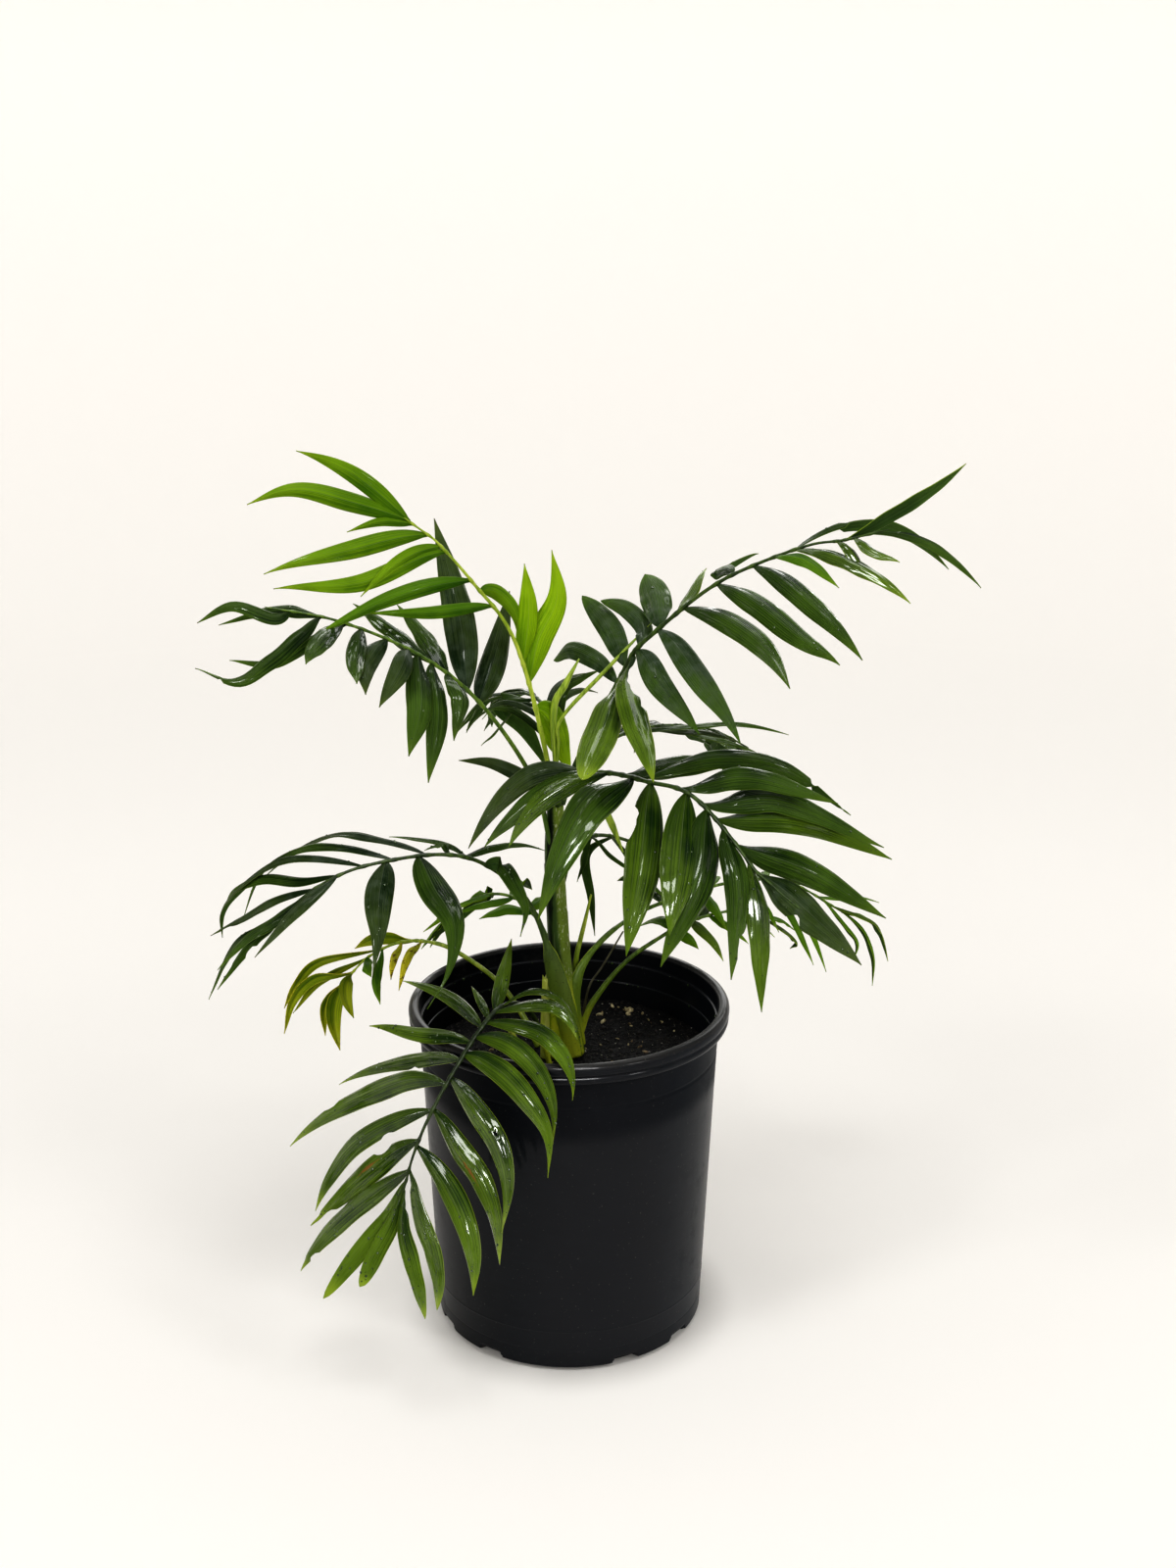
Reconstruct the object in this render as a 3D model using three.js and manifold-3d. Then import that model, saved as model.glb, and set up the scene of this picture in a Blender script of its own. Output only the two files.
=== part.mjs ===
// Potted parlour palm (Chamaedorea elegans) in a round plastic nursery pot.
// Millimetres, +Z up. The origin is the centre of the pot's flat underside,
// -Y is the front, +X is to the right.
//
// Every frond is a tapered rachis with two rows of lance-shaped leaflets. A
// frond is described by the route of its rachis and, for each row, by values
// read along the row from the lowest leaflet to the tip (evenly spaced, with
// straight lines between them):
//   at      where on the rachis the leaflet springs, as a fraction of its length
//   length  blade length
//   width   greatest blade width
//   spread  angle between the leaflet and the rachis, in degrees
//   lift    how far the leaflet rises out of the plane of the frond, in degrees
//   droop   how far the blade bends towards the ground along its length
//   turn    how far the blade is turned about its own midrib
//   own     leaflets that differ from the rest of their row
// Three fronds arch over a wide space. Their bare stalk is a piece of its own
// up to the bend, at the fraction `bend` of the route.
import * as THREE from 'three';
import { mergeVertices } from 'three/addons/utils/BufferGeometryUtils.js';
import Module from 'manifold-3d';

const wasm = await Module();
wasm.setup();

// ---------------------------------------------------------------- dimensions
const CLEAR = 0.3;                 // running gap between neighbouring pieces

const POT = {
  height: 243, rimRadius: 115, rimHeight: 14, lipRadius: 107,
  topRadius: 107.5, baseRadius: 97, baseRound: 6, wall: 2.2, floor: 3,
  bead: 1.2, beadDrop: 8.5, grooveDrop: 36, grooveDepth: 0.6,
  sides: 40,
  notchWidth: 23, notchHeight: 6.5, notchDepth: 9, notchSlant: 4,
  notchAngles: [24, 54, 114, 144, 204, 234, 294, 324],  // from the front, to the right
};

const SOIL = { top: 203, flatRadius: 52, edgeDrop: 3.5, rings: 4, sides: 36 };

const STEM = {
  route: [[-4, -6, 203.3], [-4, -7, 225], [-6, -4, 262], [-8, -1, 309], [-10, 0, 350], [-9, 0, 390]],
  radii: [14.5, 9.8, 8.2, 7.8, 7.2, 6.6], sides: 12, steps: 12,
};

const STUBS = {
  stub_front: { route: [[-18, -12, 204], [-19, -13, 230], [-20, -14, 262]], radii: [4.2, 3.6, 3.0] },
  stub_left: { route: [[-34, -24, 204], [-37, -24, 218], [-42, -24, 232]], radii: [2.6, 2.3, 1.8] },
};

const SPEAR = {
  route: [[-9, 0, 390], [-7, 4, 430], [-2, 5, 466], [28, 3, 504], [61, 0, 541]],
  radii: [1.7, 1.6, 1.6, 1.9, 1.7, 0.7], sides: 6, steps: 14,
};

const BLADE = {
  stations: [0, 0.14, 0.42, 0.74, 1],  // along the blade
  peak: 0.4, baseFullness: 0.6, tipFullness: 0.9,
  thickness: 1.7, root: 1.1, tip: 0.35,
};

const LEANS = [0, 8, -8, 16, -16, 24, -24, 34, -34];   // tried in this order, degrees

const RACHIS = { sides: 5, steps: 14, foot: 2.1, tip: 0.95 };

const GREEN = { deep: 0x1f4419, mid: 0x2c5a20, light: 0x4f7f2b, young: 0x9aa83a };

const FRONDS = {
  upper_left_young: {
    tone: 'young', roll: -75,
    route: [[-14.2, 0.5, 390], [-15, 0, 424], [-36, -5, 507], [-67, -15, 552], [-105, -30, 591]],
    right: { count: 5, at: [.3, .38, .44, .64, .98], length: [62, 94, 77, 46, 92], width: [20, 15, 14, 14, 15],
      spread: [110, 33, 20, 114, 4], lift: [5, 4, 0, -9, 2], droop: [110, -7, 13, 91, 21] },
    left: { count: 6, at: [.64, .74, .85, .87, .92, .99], length: [90, 116, 119, 69, 114, 108], width: [11, 14, 15, 11, 16, 16],
      spread: [45, 47, 37, 43, 31, 17], lift: 0, droop: [8, 19, 18, 28, 25, 24] },
  },
  left_dark: {
    tone: 'deep', roll: 0,
    route: [[-7, -2, 338], [-13, -4, 364], [-25, -5, 410], [-59, -20, 467], [-98, -35, 504], [-148, -50, 530], [-195, -60, 542]],
    right: { count: 6, at: [.47, .51, .57, .61, .88, .94], length: [83, 128, 69, 80, 48, 62], width: [14, 20, 15, 16, 12, 10],
      spread: [76, 60, 63, 30, 20, 0], lift: [45, 41, 25, 27, 29, 30], droop: [6, 1, 26, 26, 19, 19], turn: [-50, -60, -30, -20, -20, -20] },
    left: { count: 9, at: [.57, .64, .68, .78, .85, .93], length: [54, 100, 63, 61, 98, 62], width: [12, 18, 16, 13, 14, 10],
      spread: [86, 79, 54, 77, 55, 4], lift: [-16, -14, -5, 0, 8, -13], droop: [67, 60, 47, 42, 31, 70], own: { 1: { length: 90 }, 7: { length: 110, width: 14 } } },
  },
  upper_right: {
    tone: 'deep', roll: 0,
    route: [[-4, -1.8, 390], [6, -4, 422], [34, -15, 481], [52, -25, 514], [100, -45, 551], [149, -60, 576], [203, -75, 594]],
    right: { count: 11, at: [.3, .4, .54, .71, .89, .96], length: [116, 107, 146, 123, 37, 72], width: [18, 20, 20, 18, 12, 10],
      spread: [84, 47, 45, 42, -16, 0], lift: [-6, -36, -15, -13, -3, -9], droop: [30, 71, 34, 43, 76, 61],
      own: { 2: { length: 100 }, 8: { length: 45, spread: 10, lift: 0, droop: 95 }, 9: { length: 40, spread: 15 }, 10: { length: 80, spread: 20, droop: 50 } } },
    left: { count: 8, at: [.31, .37, .47, .53, .76, .91], length: [93, 85, 71, 65, 119, 129], width: [15, 16, 20, 14, 14, 14],
      spread: [104, 98, 104, 77, 71, 20], lift: [48, 42, 41, 27, 33, 30], droop: [10, 1, 18, 22, 76, -15],
      own: { 7: { spread: 20, lift: 33, droop: -20, length: 88, width: 12, turn: 50 } } },
  },
  right_front: {
    tone: 'deep', roll: 0,
    route: [[-7.6, -4.8, 390], [2, -20, 412], [24, -40, 424], [51, -70, 427], [83, -95, 422], [123, -130, 379], [150, -150, 340]],
    right: { count: 10, at: [.19, .22, .25, .34, .4, .51, .58, .645, .75, .79], length: [118, 112, 100, 110, 127, 124, 111, 101, 98, 92],
      width: [16, 16, 15, 27, 24, 24, 21, 17, 14, 22], spread: [120, 118, 112, 82, 60, 63, 52, 39, 28, -31],
      lift: [20, 15, 10, -1, -7, -7, -5, -5, -8, -12], droop: [65, 65, 65, 51, 61, 60, 58, 57, 52, 26], turn: [-40, -35, -30, 0, 0, 0, 0, 0, 0, 0] },
    left: { count: 6, at: [.3, .357, .479, .558, .613, .692], length: [100, 112, 107, 115, 121, 108], width: [17, 18, 20, 22, 21, 19],
      spread: [75, 60, 21, 36, 47, 35], lift: [6, 2, 10, 16, 16, 17], droop: [15, 5, 0, -3, 4, 6] },
  },
  back_right: {
    tone: 'deep', roll: 0,
    route: [[-5.1, 3.5, 390], [12, 34, 412], [38, 76, 418], [72, 110, 416], [110, 140, 404], [140, 160, 384]],
    right: { count: 8, at: [.42, .6, .8, .99], length: [80, 100, 95, 80], width: [15, 20, 19, 15], spread: [75, 60, 45, 14], lift: 8, droop: [55, 50, 45, 25] },
    left: { count: 8, at: [.44, .62, .82, .99], length: [78, 98, 92, 76], width: [15, 20, 19, 15], spread: [75, 60, 45, 12], lift: 8, droop: [55, 50, 45, 25] },
  },
  behind_left: {
    tone: 'deep', roll: 0,
    route: [[-10.6, 4.9, 390], [-9, 24, 414], [-12, 50, 434], [-22, 80, 444], [-38, 108, 442], [-56, 136, 430]],
    right: { count: 7, at: [.3, .5, .75, .99], length: [84, 80, 92, 80], width: [16, 19, 19, 15], spread: [53, 54, 50, 12], lift: [20, 14, 12, 5], droop: [12, 25, 20, 25] },
    left: { count: 7, at: [.26, .48, .72, .99], length: [83, 80, 83, 76], width: [16, 18, 18, 15], spread: [40, 45, 40, 12], lift: [17, 7, 6, 5], droop: [34, 46, 30, 25] },
  },
  left_low: {
    tone: 'deep', roll: 0, foot: 6.5, bend: .44,
    route: [[4, -15, 206], [-1, -17, 235], [-13, -15, 282], [-24, -13, 314], [-42, -19, 336], [-75, -30, 357], [-128, -48, 362], [-168, -58, 350], [-210, -68, 318]],
    right: { count: 7, at: [.52, .63, .71, .78, .83, .95], length: [100, 140, 130, 112, 95, 74], width: [14, 16, 16, 15, 15, 13],
      spread: [110, 45, 46, 48, 32, 11], lift: [20, 28, 26, 26, 23, 19], droop: [70, 60, 52, 40, 24, 26] },
    left: { count: 6, at: [.47, .63, .7, .8, .85, .93], length: [67, 128, 95, 82, 77, 68], width: [12, 17, 18, 15, 14, 12],
      spread: [42, 86, 71, 45, 25, 12], lift: [8, 11, 6, 14, 10, 1], droop: [27, 73, 61, 18, 17, 13] },
  },
  right_low: {
    tone: 'mid', roll: 0, foot: 5.2, bend: .36,
    route: [[12, -6, 206], [10, -7, 240], [14, -3, 266], [24, 10, 280], [41, 30, 290], [68, 60, 293], [120, 85, 300], [167, 110, 292], [215, 120, 262]],
    right: { count: 7, at: [.48, .6, .73, .84, .92, .99], length: [50, 49, 57, 75, 58, 66], width: 10, spread: [100, 90, 80, 70, 35, 0], lift: [10, 3, -7, -14, 0, 6], droop: [16, 36, 50, 56, 49, 60] },
    left: { count: 7, at: [.48, .62, .8, .89, .95, .99], length: [50, 50, 47, 57, 47, 56], width: 10, spread: [73, 45, 41, 34, 26, 6], lift: [9, 3, 8, 13, 10, 5], droop: [17, 28, 6, 0, 7, 29] },
  },
  behind_low: {
    tone: 'mid', roll: 0,
    route: [[-6, 2, 238], [-14, 40, 268], [-30, 66, 288], [-50, 84, 292], [-72, 96, 284], [-90, 104, 268]],
    right: { count: 5, at: [.5, .68, .84, .99], length: [44, 48, 46, 42], width: [11, 12, 12, 10], spread: [65, 55, 40, 12], lift: 8, droop: 30 },
    left: { count: 5, at: [.48, .66, .82, .98], length: [46, 48, 46, 42], width: [11, 12, 12, 10], spread: [68, 55, 40, 10], lift: 8, droop: 30 },
  },
  behind_right: {
    tone: 'deep', roll: 0,
    route: [[-7, 3, 318], [2, 18, 346], [15, 40, 352], [36, 62, 344], [60, 84, 326], [82, 104, 300]],
    right: { count: 6, at: [.36, .58, .8, .99], length: [76, 60, 60, 52], width: [13, 13, 13, 11], spread: [80, 62, 42, 12], lift: 6, droop: [80, 45, 40, 30] },
    left: { count: 6, at: [.4, .6, .82, .98], length: [58, 64, 62, 52], width: [13, 14, 13, 11], spread: [70, 58, 42, 10], lift: 8, droop: [50, 40, 40, 30] },
  },
  right_small: {
    tone: 'mid', roll: 0,
    route: [[11, 14, 203.3], [20, 17, 226], [42, 26, 256], [68, 34, 272], [88, 40, 281], [121, 56, 283], [142, 64, 276]],
    right: { count: 5, at: [.58, .7, .8, .99], length: [30, 40, 36, 50], width: [8, 10, 9, 9], spread: [65, 70, 50, 15], lift: 0, droop: [33, 47, 39, 40] },
    left: { count: 4, at: [.58, .7, .84, .98], length: [44, 44, 38, 36], width: 9, spread: [80, 50, 35, 10], lift: 7, droop: [25, 15, 10, 10] },
  },
  left_small: {
    tone: 'young', roll: 0,
    route: [[-22, 4, 203.3], [-32, 16, 220], [-52, 34, 242], [-82, 52, 258], [-103, 58, 264], [-126, 60, 263], [-150, 60, 251], [-168, 58, 232]],
    right: { count: 5, at: [.66, .8, .86, .94, .99], length: [55, 66, 76, 74, 48], width: 9, spread: [46, 33, 20, 17, 12], lift: [8, 12, 14, 17, 7], droop: [27, 14, 0, -12, 30], turn: 35 },
    left: { count: 6, at: [.64, .72, .8, .88, .96, .99], length: [44, 33, 45, 34, 42, 51], width: [8, 8, 9, 10, 11, 13], spread: [76, 80, 86, 80, 50, 5], lift: [0, 0, -8, -10, -10, 0], droop: [38, 37, 46, 49, 60, 70], turn: -35 },
  },
  front_left: {
    tone: 'mid', roll: 0, bend: .34,
    route: [[-14, -24, 203.3], [-22, -30, 236], [-33, -43, 257], [-47, -68, 265], [-62, -90, 250], [-77, -110, 228], [-97, -130, 190], [-110, -141, 158]],
    right: { count: 11, at: [.4, .47, .59, .75, .93, .99], length: [55, 70, 130, 115, 114, 71], width: [12, 12, 15, 17, 18, 15],
      spread: [140, 110, 94, 57, 45, 11], lift: [15, 18, 12, 25, 9, 8], droop: [0, 24, 52, 52, 29, 10],
      own: { 0: { length: 65, width: 13 }, 1: { length: 34, width: 7 }, 2: { length: 75 }, 4: { length: 112, lift: 1, droop: 42 }, 5: { length: 146, spread: 84, lift: 19, droop: 58 }, 6: { spread: 64, droop: 60 }, 7: { spread: 60, droop: 50 }, 9: { length: 100 } } },
    left: { count: 10, at: [.37, .44, .54, .68, .88, .99], length: [64, 93, 104, 112, 96, 77], width: [12, 15, 18, 20, 20, 15],
      spread: [110, 109, 100, 79, 64, 36], lift: [50, 33, 19, 5, 0, 0], droop: [105, 100, 98, 80, 42, 25], own: { 4: { spread: 104, lift: 26, droop: 115 }, 5: { lift: 20, droop: 100 } } },
  },
};

// ------------------------------------------------------------------- helpers
const V = (x, y, z) => new THREE.Vector3(x, y, z);
const rad = THREE.MathUtils.degToRad;

/** Value at fraction t of a row of evenly spaced values, straight between them. */
function along(values, t) {
  if (!Array.isArray(values)) return values;
  const x = t * (values.length - 1), i = Math.min(Math.floor(x), values.length - 2);
  return values[i] + (values[i + 1] - values[i]) * (x - i);
}

/** A closed geometry as a manifold solid. */
function solid(geometry) {
  const g = geometry.clone();
  for (const name of Object.keys(g.attributes)) if (name !== 'position') g.deleteAttribute(name);
  const m = mergeVertices(g, 1e-4);
  return new wasm.Manifold(new wasm.Mesh({
    numProp: 3,
    vertProperties: new Float32Array(m.attributes.position.array),
    triVerts: new Uint32Array(m.index.array),
  }));
}

/** A manifold solid as a geometry. */
function geometryOf(manifold) {
  const mesh = manifold.getMesh(), g = new THREE.BufferGeometry();
  const p = new Float32Array(mesh.numVert * 3);
  for (let i = 0; i < mesh.numVert; i++) for (let k = 0; k < 3; k++) p[3 * i + k] = mesh.vertProperties[i * mesh.numProp + k];
  g.setAttribute('position', new THREE.BufferAttribute(p, 3));
  g.setIndex(new THREE.BufferAttribute(new Uint32Array(mesh.triVerts), 1));
  g.computeVertexNormals();
  return g;
}

/** The largest of the separate bodies in a solid. */
const mainBody = (manifold) => manifold.decompose().reduce((a, b) => (b.volume() > a.volume() ? b : a));

/** A closed skin through rings of points that all have the same number of points. */
function skin(rings) {
  const n = rings[0].length, position = [], index = [];
  for (const ring of rings) for (const p of ring) position.push(p.x, p.y, p.z);
  for (let r = 0; r < rings.length - 1; r++) {
    for (let i = 0; i < n; i++) {
      const a = r * n + i, b = r * n + (i + 1) % n;
      index.push(a, b, b + n, a, b + n, a + n);
    }
  }
  for (const [ring, flip] of [[0, true], [rings.length - 1, false]]) {
    for (let i = 1; i < n - 1; i++) {
      const [a, b, c] = [ring * n, ring * n + i, ring * n + i + 1];
      index.push(...(flip ? [a, c, b] : [a, b, c]));
    }
  }
  const g = new THREE.BufferGeometry();
  g.setAttribute('position', new THREE.Float32BufferAttribute(position, 3));
  g.setIndex(index);
  return g;
}

/** A round tube along a curve, its radius read from a row of values. */
function tube(points, radii, sides, steps, extra = 0) {
  const curve = new THREE.CatmullRomCurve3(points.map((p) => V(...p)), false, 'catmullrom', 0.5);
  const frames = curve.computeFrenetFrames(steps, false), rings = [];
  for (let s = 0; s <= steps; s++) {
    const centre = curve.getPointAt(s / steps), r = along(radii, s / steps) + extra;
    rings.push(Array.from({ length: sides }, (_, i) => {
      const a = (i / sides) * Math.PI * 2;
      return centre.clone().addScaledVector(frames.normals[s], r * Math.cos(a)).addScaledVector(frames.binormals[s], r * Math.sin(a));
    }));
  }
  return solid(skin(rings));
}

/** Half width of a lance-shaped blade at fraction t, as a share of its greatest half width. */
function blade(t) {
  const { peak, baseFullness, tipFullness } = BLADE;
  return (t / peak) ** baseFullness * ((1 - t) / (1 - peak)) ** tipFullness;
}

/** Centre line and width directions of one leaflet that leaves the rachis at a point. */
function leafletLine(frame, value, side, steps = 12) {
  const { point, T, N0, B0 } = frame;
  const N = N0.clone(), B = B0.clone();
  const across = B.multiplyScalar(side * Math.cos(rad(value.lift))).addScaledVector(N, Math.sin(rad(value.lift)));
  const d = T.clone().multiplyScalar(Math.cos(rad(value.spread))).addScaledVector(across, Math.sin(rad(value.spread))).normalize();
  const w = d.clone().cross(N).normalize(), n = w.clone().cross(d);
  if (n.dot(N) < 0) { w.negate(); n.negate(); }
  for (const v of [w, n]) v.applyAxisAngle(d, side * rad(value.turn));
  const p = point.clone(), rows = [{ p: p.clone(), w: w.clone(), n: n.clone() }], down = V(0, 0, -1);
  for (let i = 0; i < steps; i++) {
    const axis = d.clone().cross(down), sine = axis.length();
    if (sine > 1e-6) {
      axis.divideScalar(sine);
      const bend = value.droop < 0 ? rad(value.droop) / steps : (rad(value.droop) / steps) * sine * 1.3;
      for (const v of [d, w, n]) v.applyAxisAngle(axis, bend);
    }
    p.addScaledVector(d, value.length / steps);
    rows.push({ p: p.clone(), w: w.clone(), n: n.clone() });
  }
  return rows;
}

/** One leaflet as a thin lens-shaped solid. */
function leaflet(frame, value, side, thick = BLADE.thickness) {
  const rows = leafletLine(frame, value, side), last = rows.length - 1;
  const rings = BLADE.stations.map((t) => {
    const x = t * last, i = Math.min(Math.floor(x), last - 1), f = x - i;
    const p = rows[i].p.clone().lerp(rows[i + 1].p, f), w = rows[i].w, n = rows[i].n;
    const half = Math.max((value.width / 2) * (t > 0 && t < 1 ? blade(t) : 0), t > 0.5 ? BLADE.tip : BLADE.root);
    const h = (thick / 2) * (t < 1 ? 1 : 0.4);
    return [p.clone().addScaledVector(w, half), p.clone().addScaledVector(n, h), p.clone().addScaledVector(w, -half), p.clone().addScaledVector(n, -h)];
  });
  const made = solid(skin(rings));
  return made.volume() < 0 ? solid(skin(rings.map((r) => r.slice().reverse()))) : made;
}

/** The frame of the rachis at fraction f: point, direction, upward normal and rightward axis. */
function rachisFrame(curve, f, roll) {
  const point = curve.getPointAt(Math.min(f, 1));
  const T = curve.getPointAt(Math.min(f + 0.01, 1)).sub(curve.getPointAt(Math.max(f - 0.01, 0))).normalize();
  const heading = curve.getPointAt(1).sub(curve.getPointAt(0)).setZ(0).normalize();
  const N0 = V(heading.y, -heading.x, 0).cross(T).normalize().applyAxisAngle(T, rad(roll));
  return { point, T, N0, B0: T.clone().cross(N0) };
}

// -------------------------------------------------------------------- pieces
const placed = [];      // solids that later leaflets keep clear of

/** True where a solid stays clear of everything in place but the piece that it belongs to. */
function isClear(piece, owner) {
  const a = piece.boundingBox();
  return placed.every((other) => {
    if (other.owner === owner) return true;
    const b = other.box;
    for (let k = 0; k < 3; k++) if (a.min[k] > b.max[k] + CLEAR || b.min[k] > a.max[k] + CLEAR) return true;
    return other.solid.minGap(piece, CLEAR + 0.01) > CLEAR;
  });
}

const place = (owner, piece) => placed.push({ owner, solid: piece, box: piece.boundingBox() });

function potSolid() {
  const p = POT, top = p.height, groove = top - p.grooveDrop;
  const wallAt = (z) => p.baseRadius + (p.topRadius - p.baseRadius) * (z / (top - p.rimHeight));
  const outer = [
    [0, 0], [p.baseRadius - p.baseRound, 0], [p.baseRadius - 1.5, 1.8], [wallAt(p.baseRound), p.baseRound],
    [wallAt(groove - 2), groove - 2], [wallAt(groove) - p.grooveDepth, groove], [wallAt(groove + 2), groove + 2],
    [wallAt(top - p.rimHeight - 0.5), top - p.rimHeight - 0.5],
    [p.rimRadius - 1.6, top - p.rimHeight], [p.rimRadius - 0.4, top - p.rimHeight + 1.5],
    [p.rimRadius - 0.4, top - p.beadDrop - 1.5], [p.rimRadius - 0.4 - p.bead, top - p.beadDrop], [p.rimRadius, top - p.beadDrop + 1.8],
    [p.rimRadius, top - 2.6], [p.rimRadius - 1.6, top - 0.6], [p.rimRadius - 3.4, top],
  ];
  const inner = [
    [p.lipRadius + 1.4, top], [p.lipRadius, top - 1.6], [p.lipRadius - 0.2, top - 9], [wallAt(top - 12) - p.wall, top - 12],
    [wallAt(top - 24) - p.wall, top - 24], [wallAt(top - 25) - p.wall - 0.5, top - 26],
    [wallAt(p.floor + 6) - p.wall - 0.5, p.floor + 6], [p.baseRadius - p.baseRound - p.wall, p.floor], [0, p.floor],
  ];
  const profile = outer.concat(inner).map(([r, z]) => new THREE.Vector2(r, z));
  let body = solid(new THREE.LatheGeometry(profile, p.sides).rotateX(Math.PI / 2));
  if (body.volume() < 0) throw new Error('pot profile is inside out');
  // drainage notches: slanted cuts through the lower edge of the wall
  const w = p.notchWidth / 2, h = p.notchHeight, s = p.notchSlant;
  for (const deg of p.notchAngles) {
    const shape = new THREE.Shape([[-w, -1], [w, -1], [w - s, h], [-w + s, h]].map(([x, z]) => new THREE.Vector2(x, z)));
    const cut = new THREE.ExtrudeGeometry(shape, { depth: p.notchDepth + 4, bevelEnabled: false });
    cut.rotateX(Math.PI / 2).translate(0, -(p.baseRadius - p.notchDepth), 0).rotateZ(rad(deg));
    body = body.subtract(solid(cut));
  }
  return body;
}

function soilSolid() {
  const p = POT, s = SOIL;
  const wallAt = (z) => p.baseRadius + (p.topRadius - p.baseRadius) * (z / (p.height - p.rimHeight)) - p.wall - 0.5 - 2 * CLEAR;
  const low = p.floor + p.notchHeight + 3;
  const profile = [[0, p.floor + CLEAR], [p.baseRadius - p.notchDepth - 4, p.floor + CLEAR], [wallAt(low) - 1, low], [wallAt(s.top - s.edgeDrop), s.top - s.edgeDrop]];
  for (let i = 1; i < s.rings; i++) {
    const t = i / s.rings, r = THREE.MathUtils.lerp(wallAt(s.top), s.flatRadius, t);
    profile.push([r, s.top - s.edgeDrop * (1 - t) ** 1.5]);
  }
  profile.push([s.flatRadius, s.top], [0, s.top]);
  return solid(new THREE.LatheGeometry(profile.map(([r, z]) => new THREE.Vector2(r, z)), s.sides).rotateX(Math.PI / 2));
}

/** Everything below the soil surface and inside the pot, used to cut feet off flat. */
function ground() {
  return solid(new THREE.CylinderGeometry(POT.lipRadius - 4, POT.lipRadius - 4, SOIL.top, 24).rotateX(Math.PI / 2).translate(0, 0, SOIL.top / 2 + CLEAR));
}

/** The bare rachis of a frond, its foot trimmed back to the pieces that it grows from. */
function rachisSolid(spec, trim) {
  const foot = spec.foot ?? RACHIS.foot;
  const body = tube(spec.route, [foot, (foot + 2.1) / 2, 1.9, 1.5, RACHIS.tip], RACHIS.sides, RACHIS.steps);
  return mainBody(trim.reduce((left, cut) => left.subtract(cut), body));
}

const routeCurve = (spec) => new THREE.CatmullRomCurve3(spec.route.map((p) => V(...p)), false, 'catmullrom', 0.5);

/** The two parts of a rachis on either side of its bend, cut square to it and a clearance apart. */
function cutAtBend(spec, rachis) {
  const { point, T } = rachisFrame(routeCurve(spec), spec.bend, 0), at = point.dot(T);
  const stalk = rachis.trimByPlane(T.clone().negate().toArray(), CLEAR / 2 - at);
  const rest = rachis.trimByPlane(T.toArray(), at + CLEAR / 2);
  return [mainBody(stalk), mainBody(rest)];
}

/** A rachis with its leaflets. A leaflet leans a little, up or down, until it passes its neighbours. */
function frondSolid(name, spec, rachis) {
  const curve = routeCurve(spec), parts = [rachis];
  for (const [side, row] of [[1, spec.right], [-1, spec.left]]) {
    for (let k = 0; k < row.count; k++) {
      const value = {};
      for (const key of ['at', 'length', 'width', 'spread', 'lift', 'droop', 'turn']) value[key] = row.own?.[k]?.[key] ?? along(row[key] ?? 0, k / (row.count - 1));
      const frame = rachisFrame(curve, value.at, spec.roll);
      const piece = LEANS.map((lean) => leaflet(frame, { ...value, lift: value.lift + lean }, side)).find((p) => isClear(p, name));
      if (piece) parts.push(piece);
    }
  }
  return mainBody(wasm.Manifold.union(parts));
}

// --------------------------------------------------------------------- scene
const plant = new THREE.Group();

function addMesh(name, manifold, color, roughness, metalness = 0) {
  const mesh = new THREE.Mesh(geometryOf(manifold), new THREE.MeshStandardMaterial({ color, roughness, metalness }));
  mesh.name = name;
  plant.add(mesh);
}

const pot = potSolid(), soil = soilSolid(), floorCut = ground();
place('pot', pot);
place('soil', soil);
addMesh('pot', pot, 0x1b1d20, 0.42);
addMesh('soil', soil, 0x2a211a, 0.95);

const stem = tube(STEM.route, STEM.radii, STEM.sides, STEM.steps).subtract(floorCut);
const stemSleeve = tube(STEM.route, STEM.radii, STEM.sides, STEM.steps, CLEAR + 0.05);
const stemCut = stemSleeve.add(stemSleeve.translate([0, 0, CLEAR + 0.05]));
place('stem', stem);
addMesh('stem', stem, 0x55702c, 0.55);

for (const [name, s] of Object.entries(STUBS)) {
  const stub = mainBody(tube(s.route, s.radii, 8, 4).subtract(floorCut).subtract(stemCut));
  place(name, stub);
  addMesh(name, stub, 0x8fa04a, 0.6);
}

const spear = mainBody(tube(SPEAR.route, SPEAR.radii, SPEAR.sides, SPEAR.steps).subtract(stemCut));
place('spear', spear);
addMesh('spear', spear, 0xb7c05a, 0.5);

const rachises = {};
for (const [name, spec] of Object.entries(FRONDS)) {
  const whole = rachisSolid(spec, [floorCut, stemCut]);
  if (!isClear(whole, name)) throw new Error(name + ' touches another piece');
  if (spec.bend) {
    const [stalk, rest] = cutAtBend(spec, whole);
    rachises[name] = rest;
    place(name + '_stalk', stalk);
    addMesh('frond_' + name + '_stalk', stalk, GREEN[spec.tone], 0.45);
  } else {
    rachises[name] = whole;
  }
  place(name, rachises[name]);
}
for (const [name, spec] of Object.entries(FRONDS)) {
  const frond = frondSolid(name, spec, rachises[name]);
  place(name, frond);
  addMesh('frond_' + name, frond, GREEN[spec.tone], 0.45);
}

export default plant;
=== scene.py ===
"""Potted parlour palm: the pieces that are seen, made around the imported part.

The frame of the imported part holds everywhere: +Z is up, -Y is the front. Sizes
in the tables are millimetres and angles are degrees, where a comment says
nothing else; a mesh and a finish are made in metres.
"""

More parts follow.
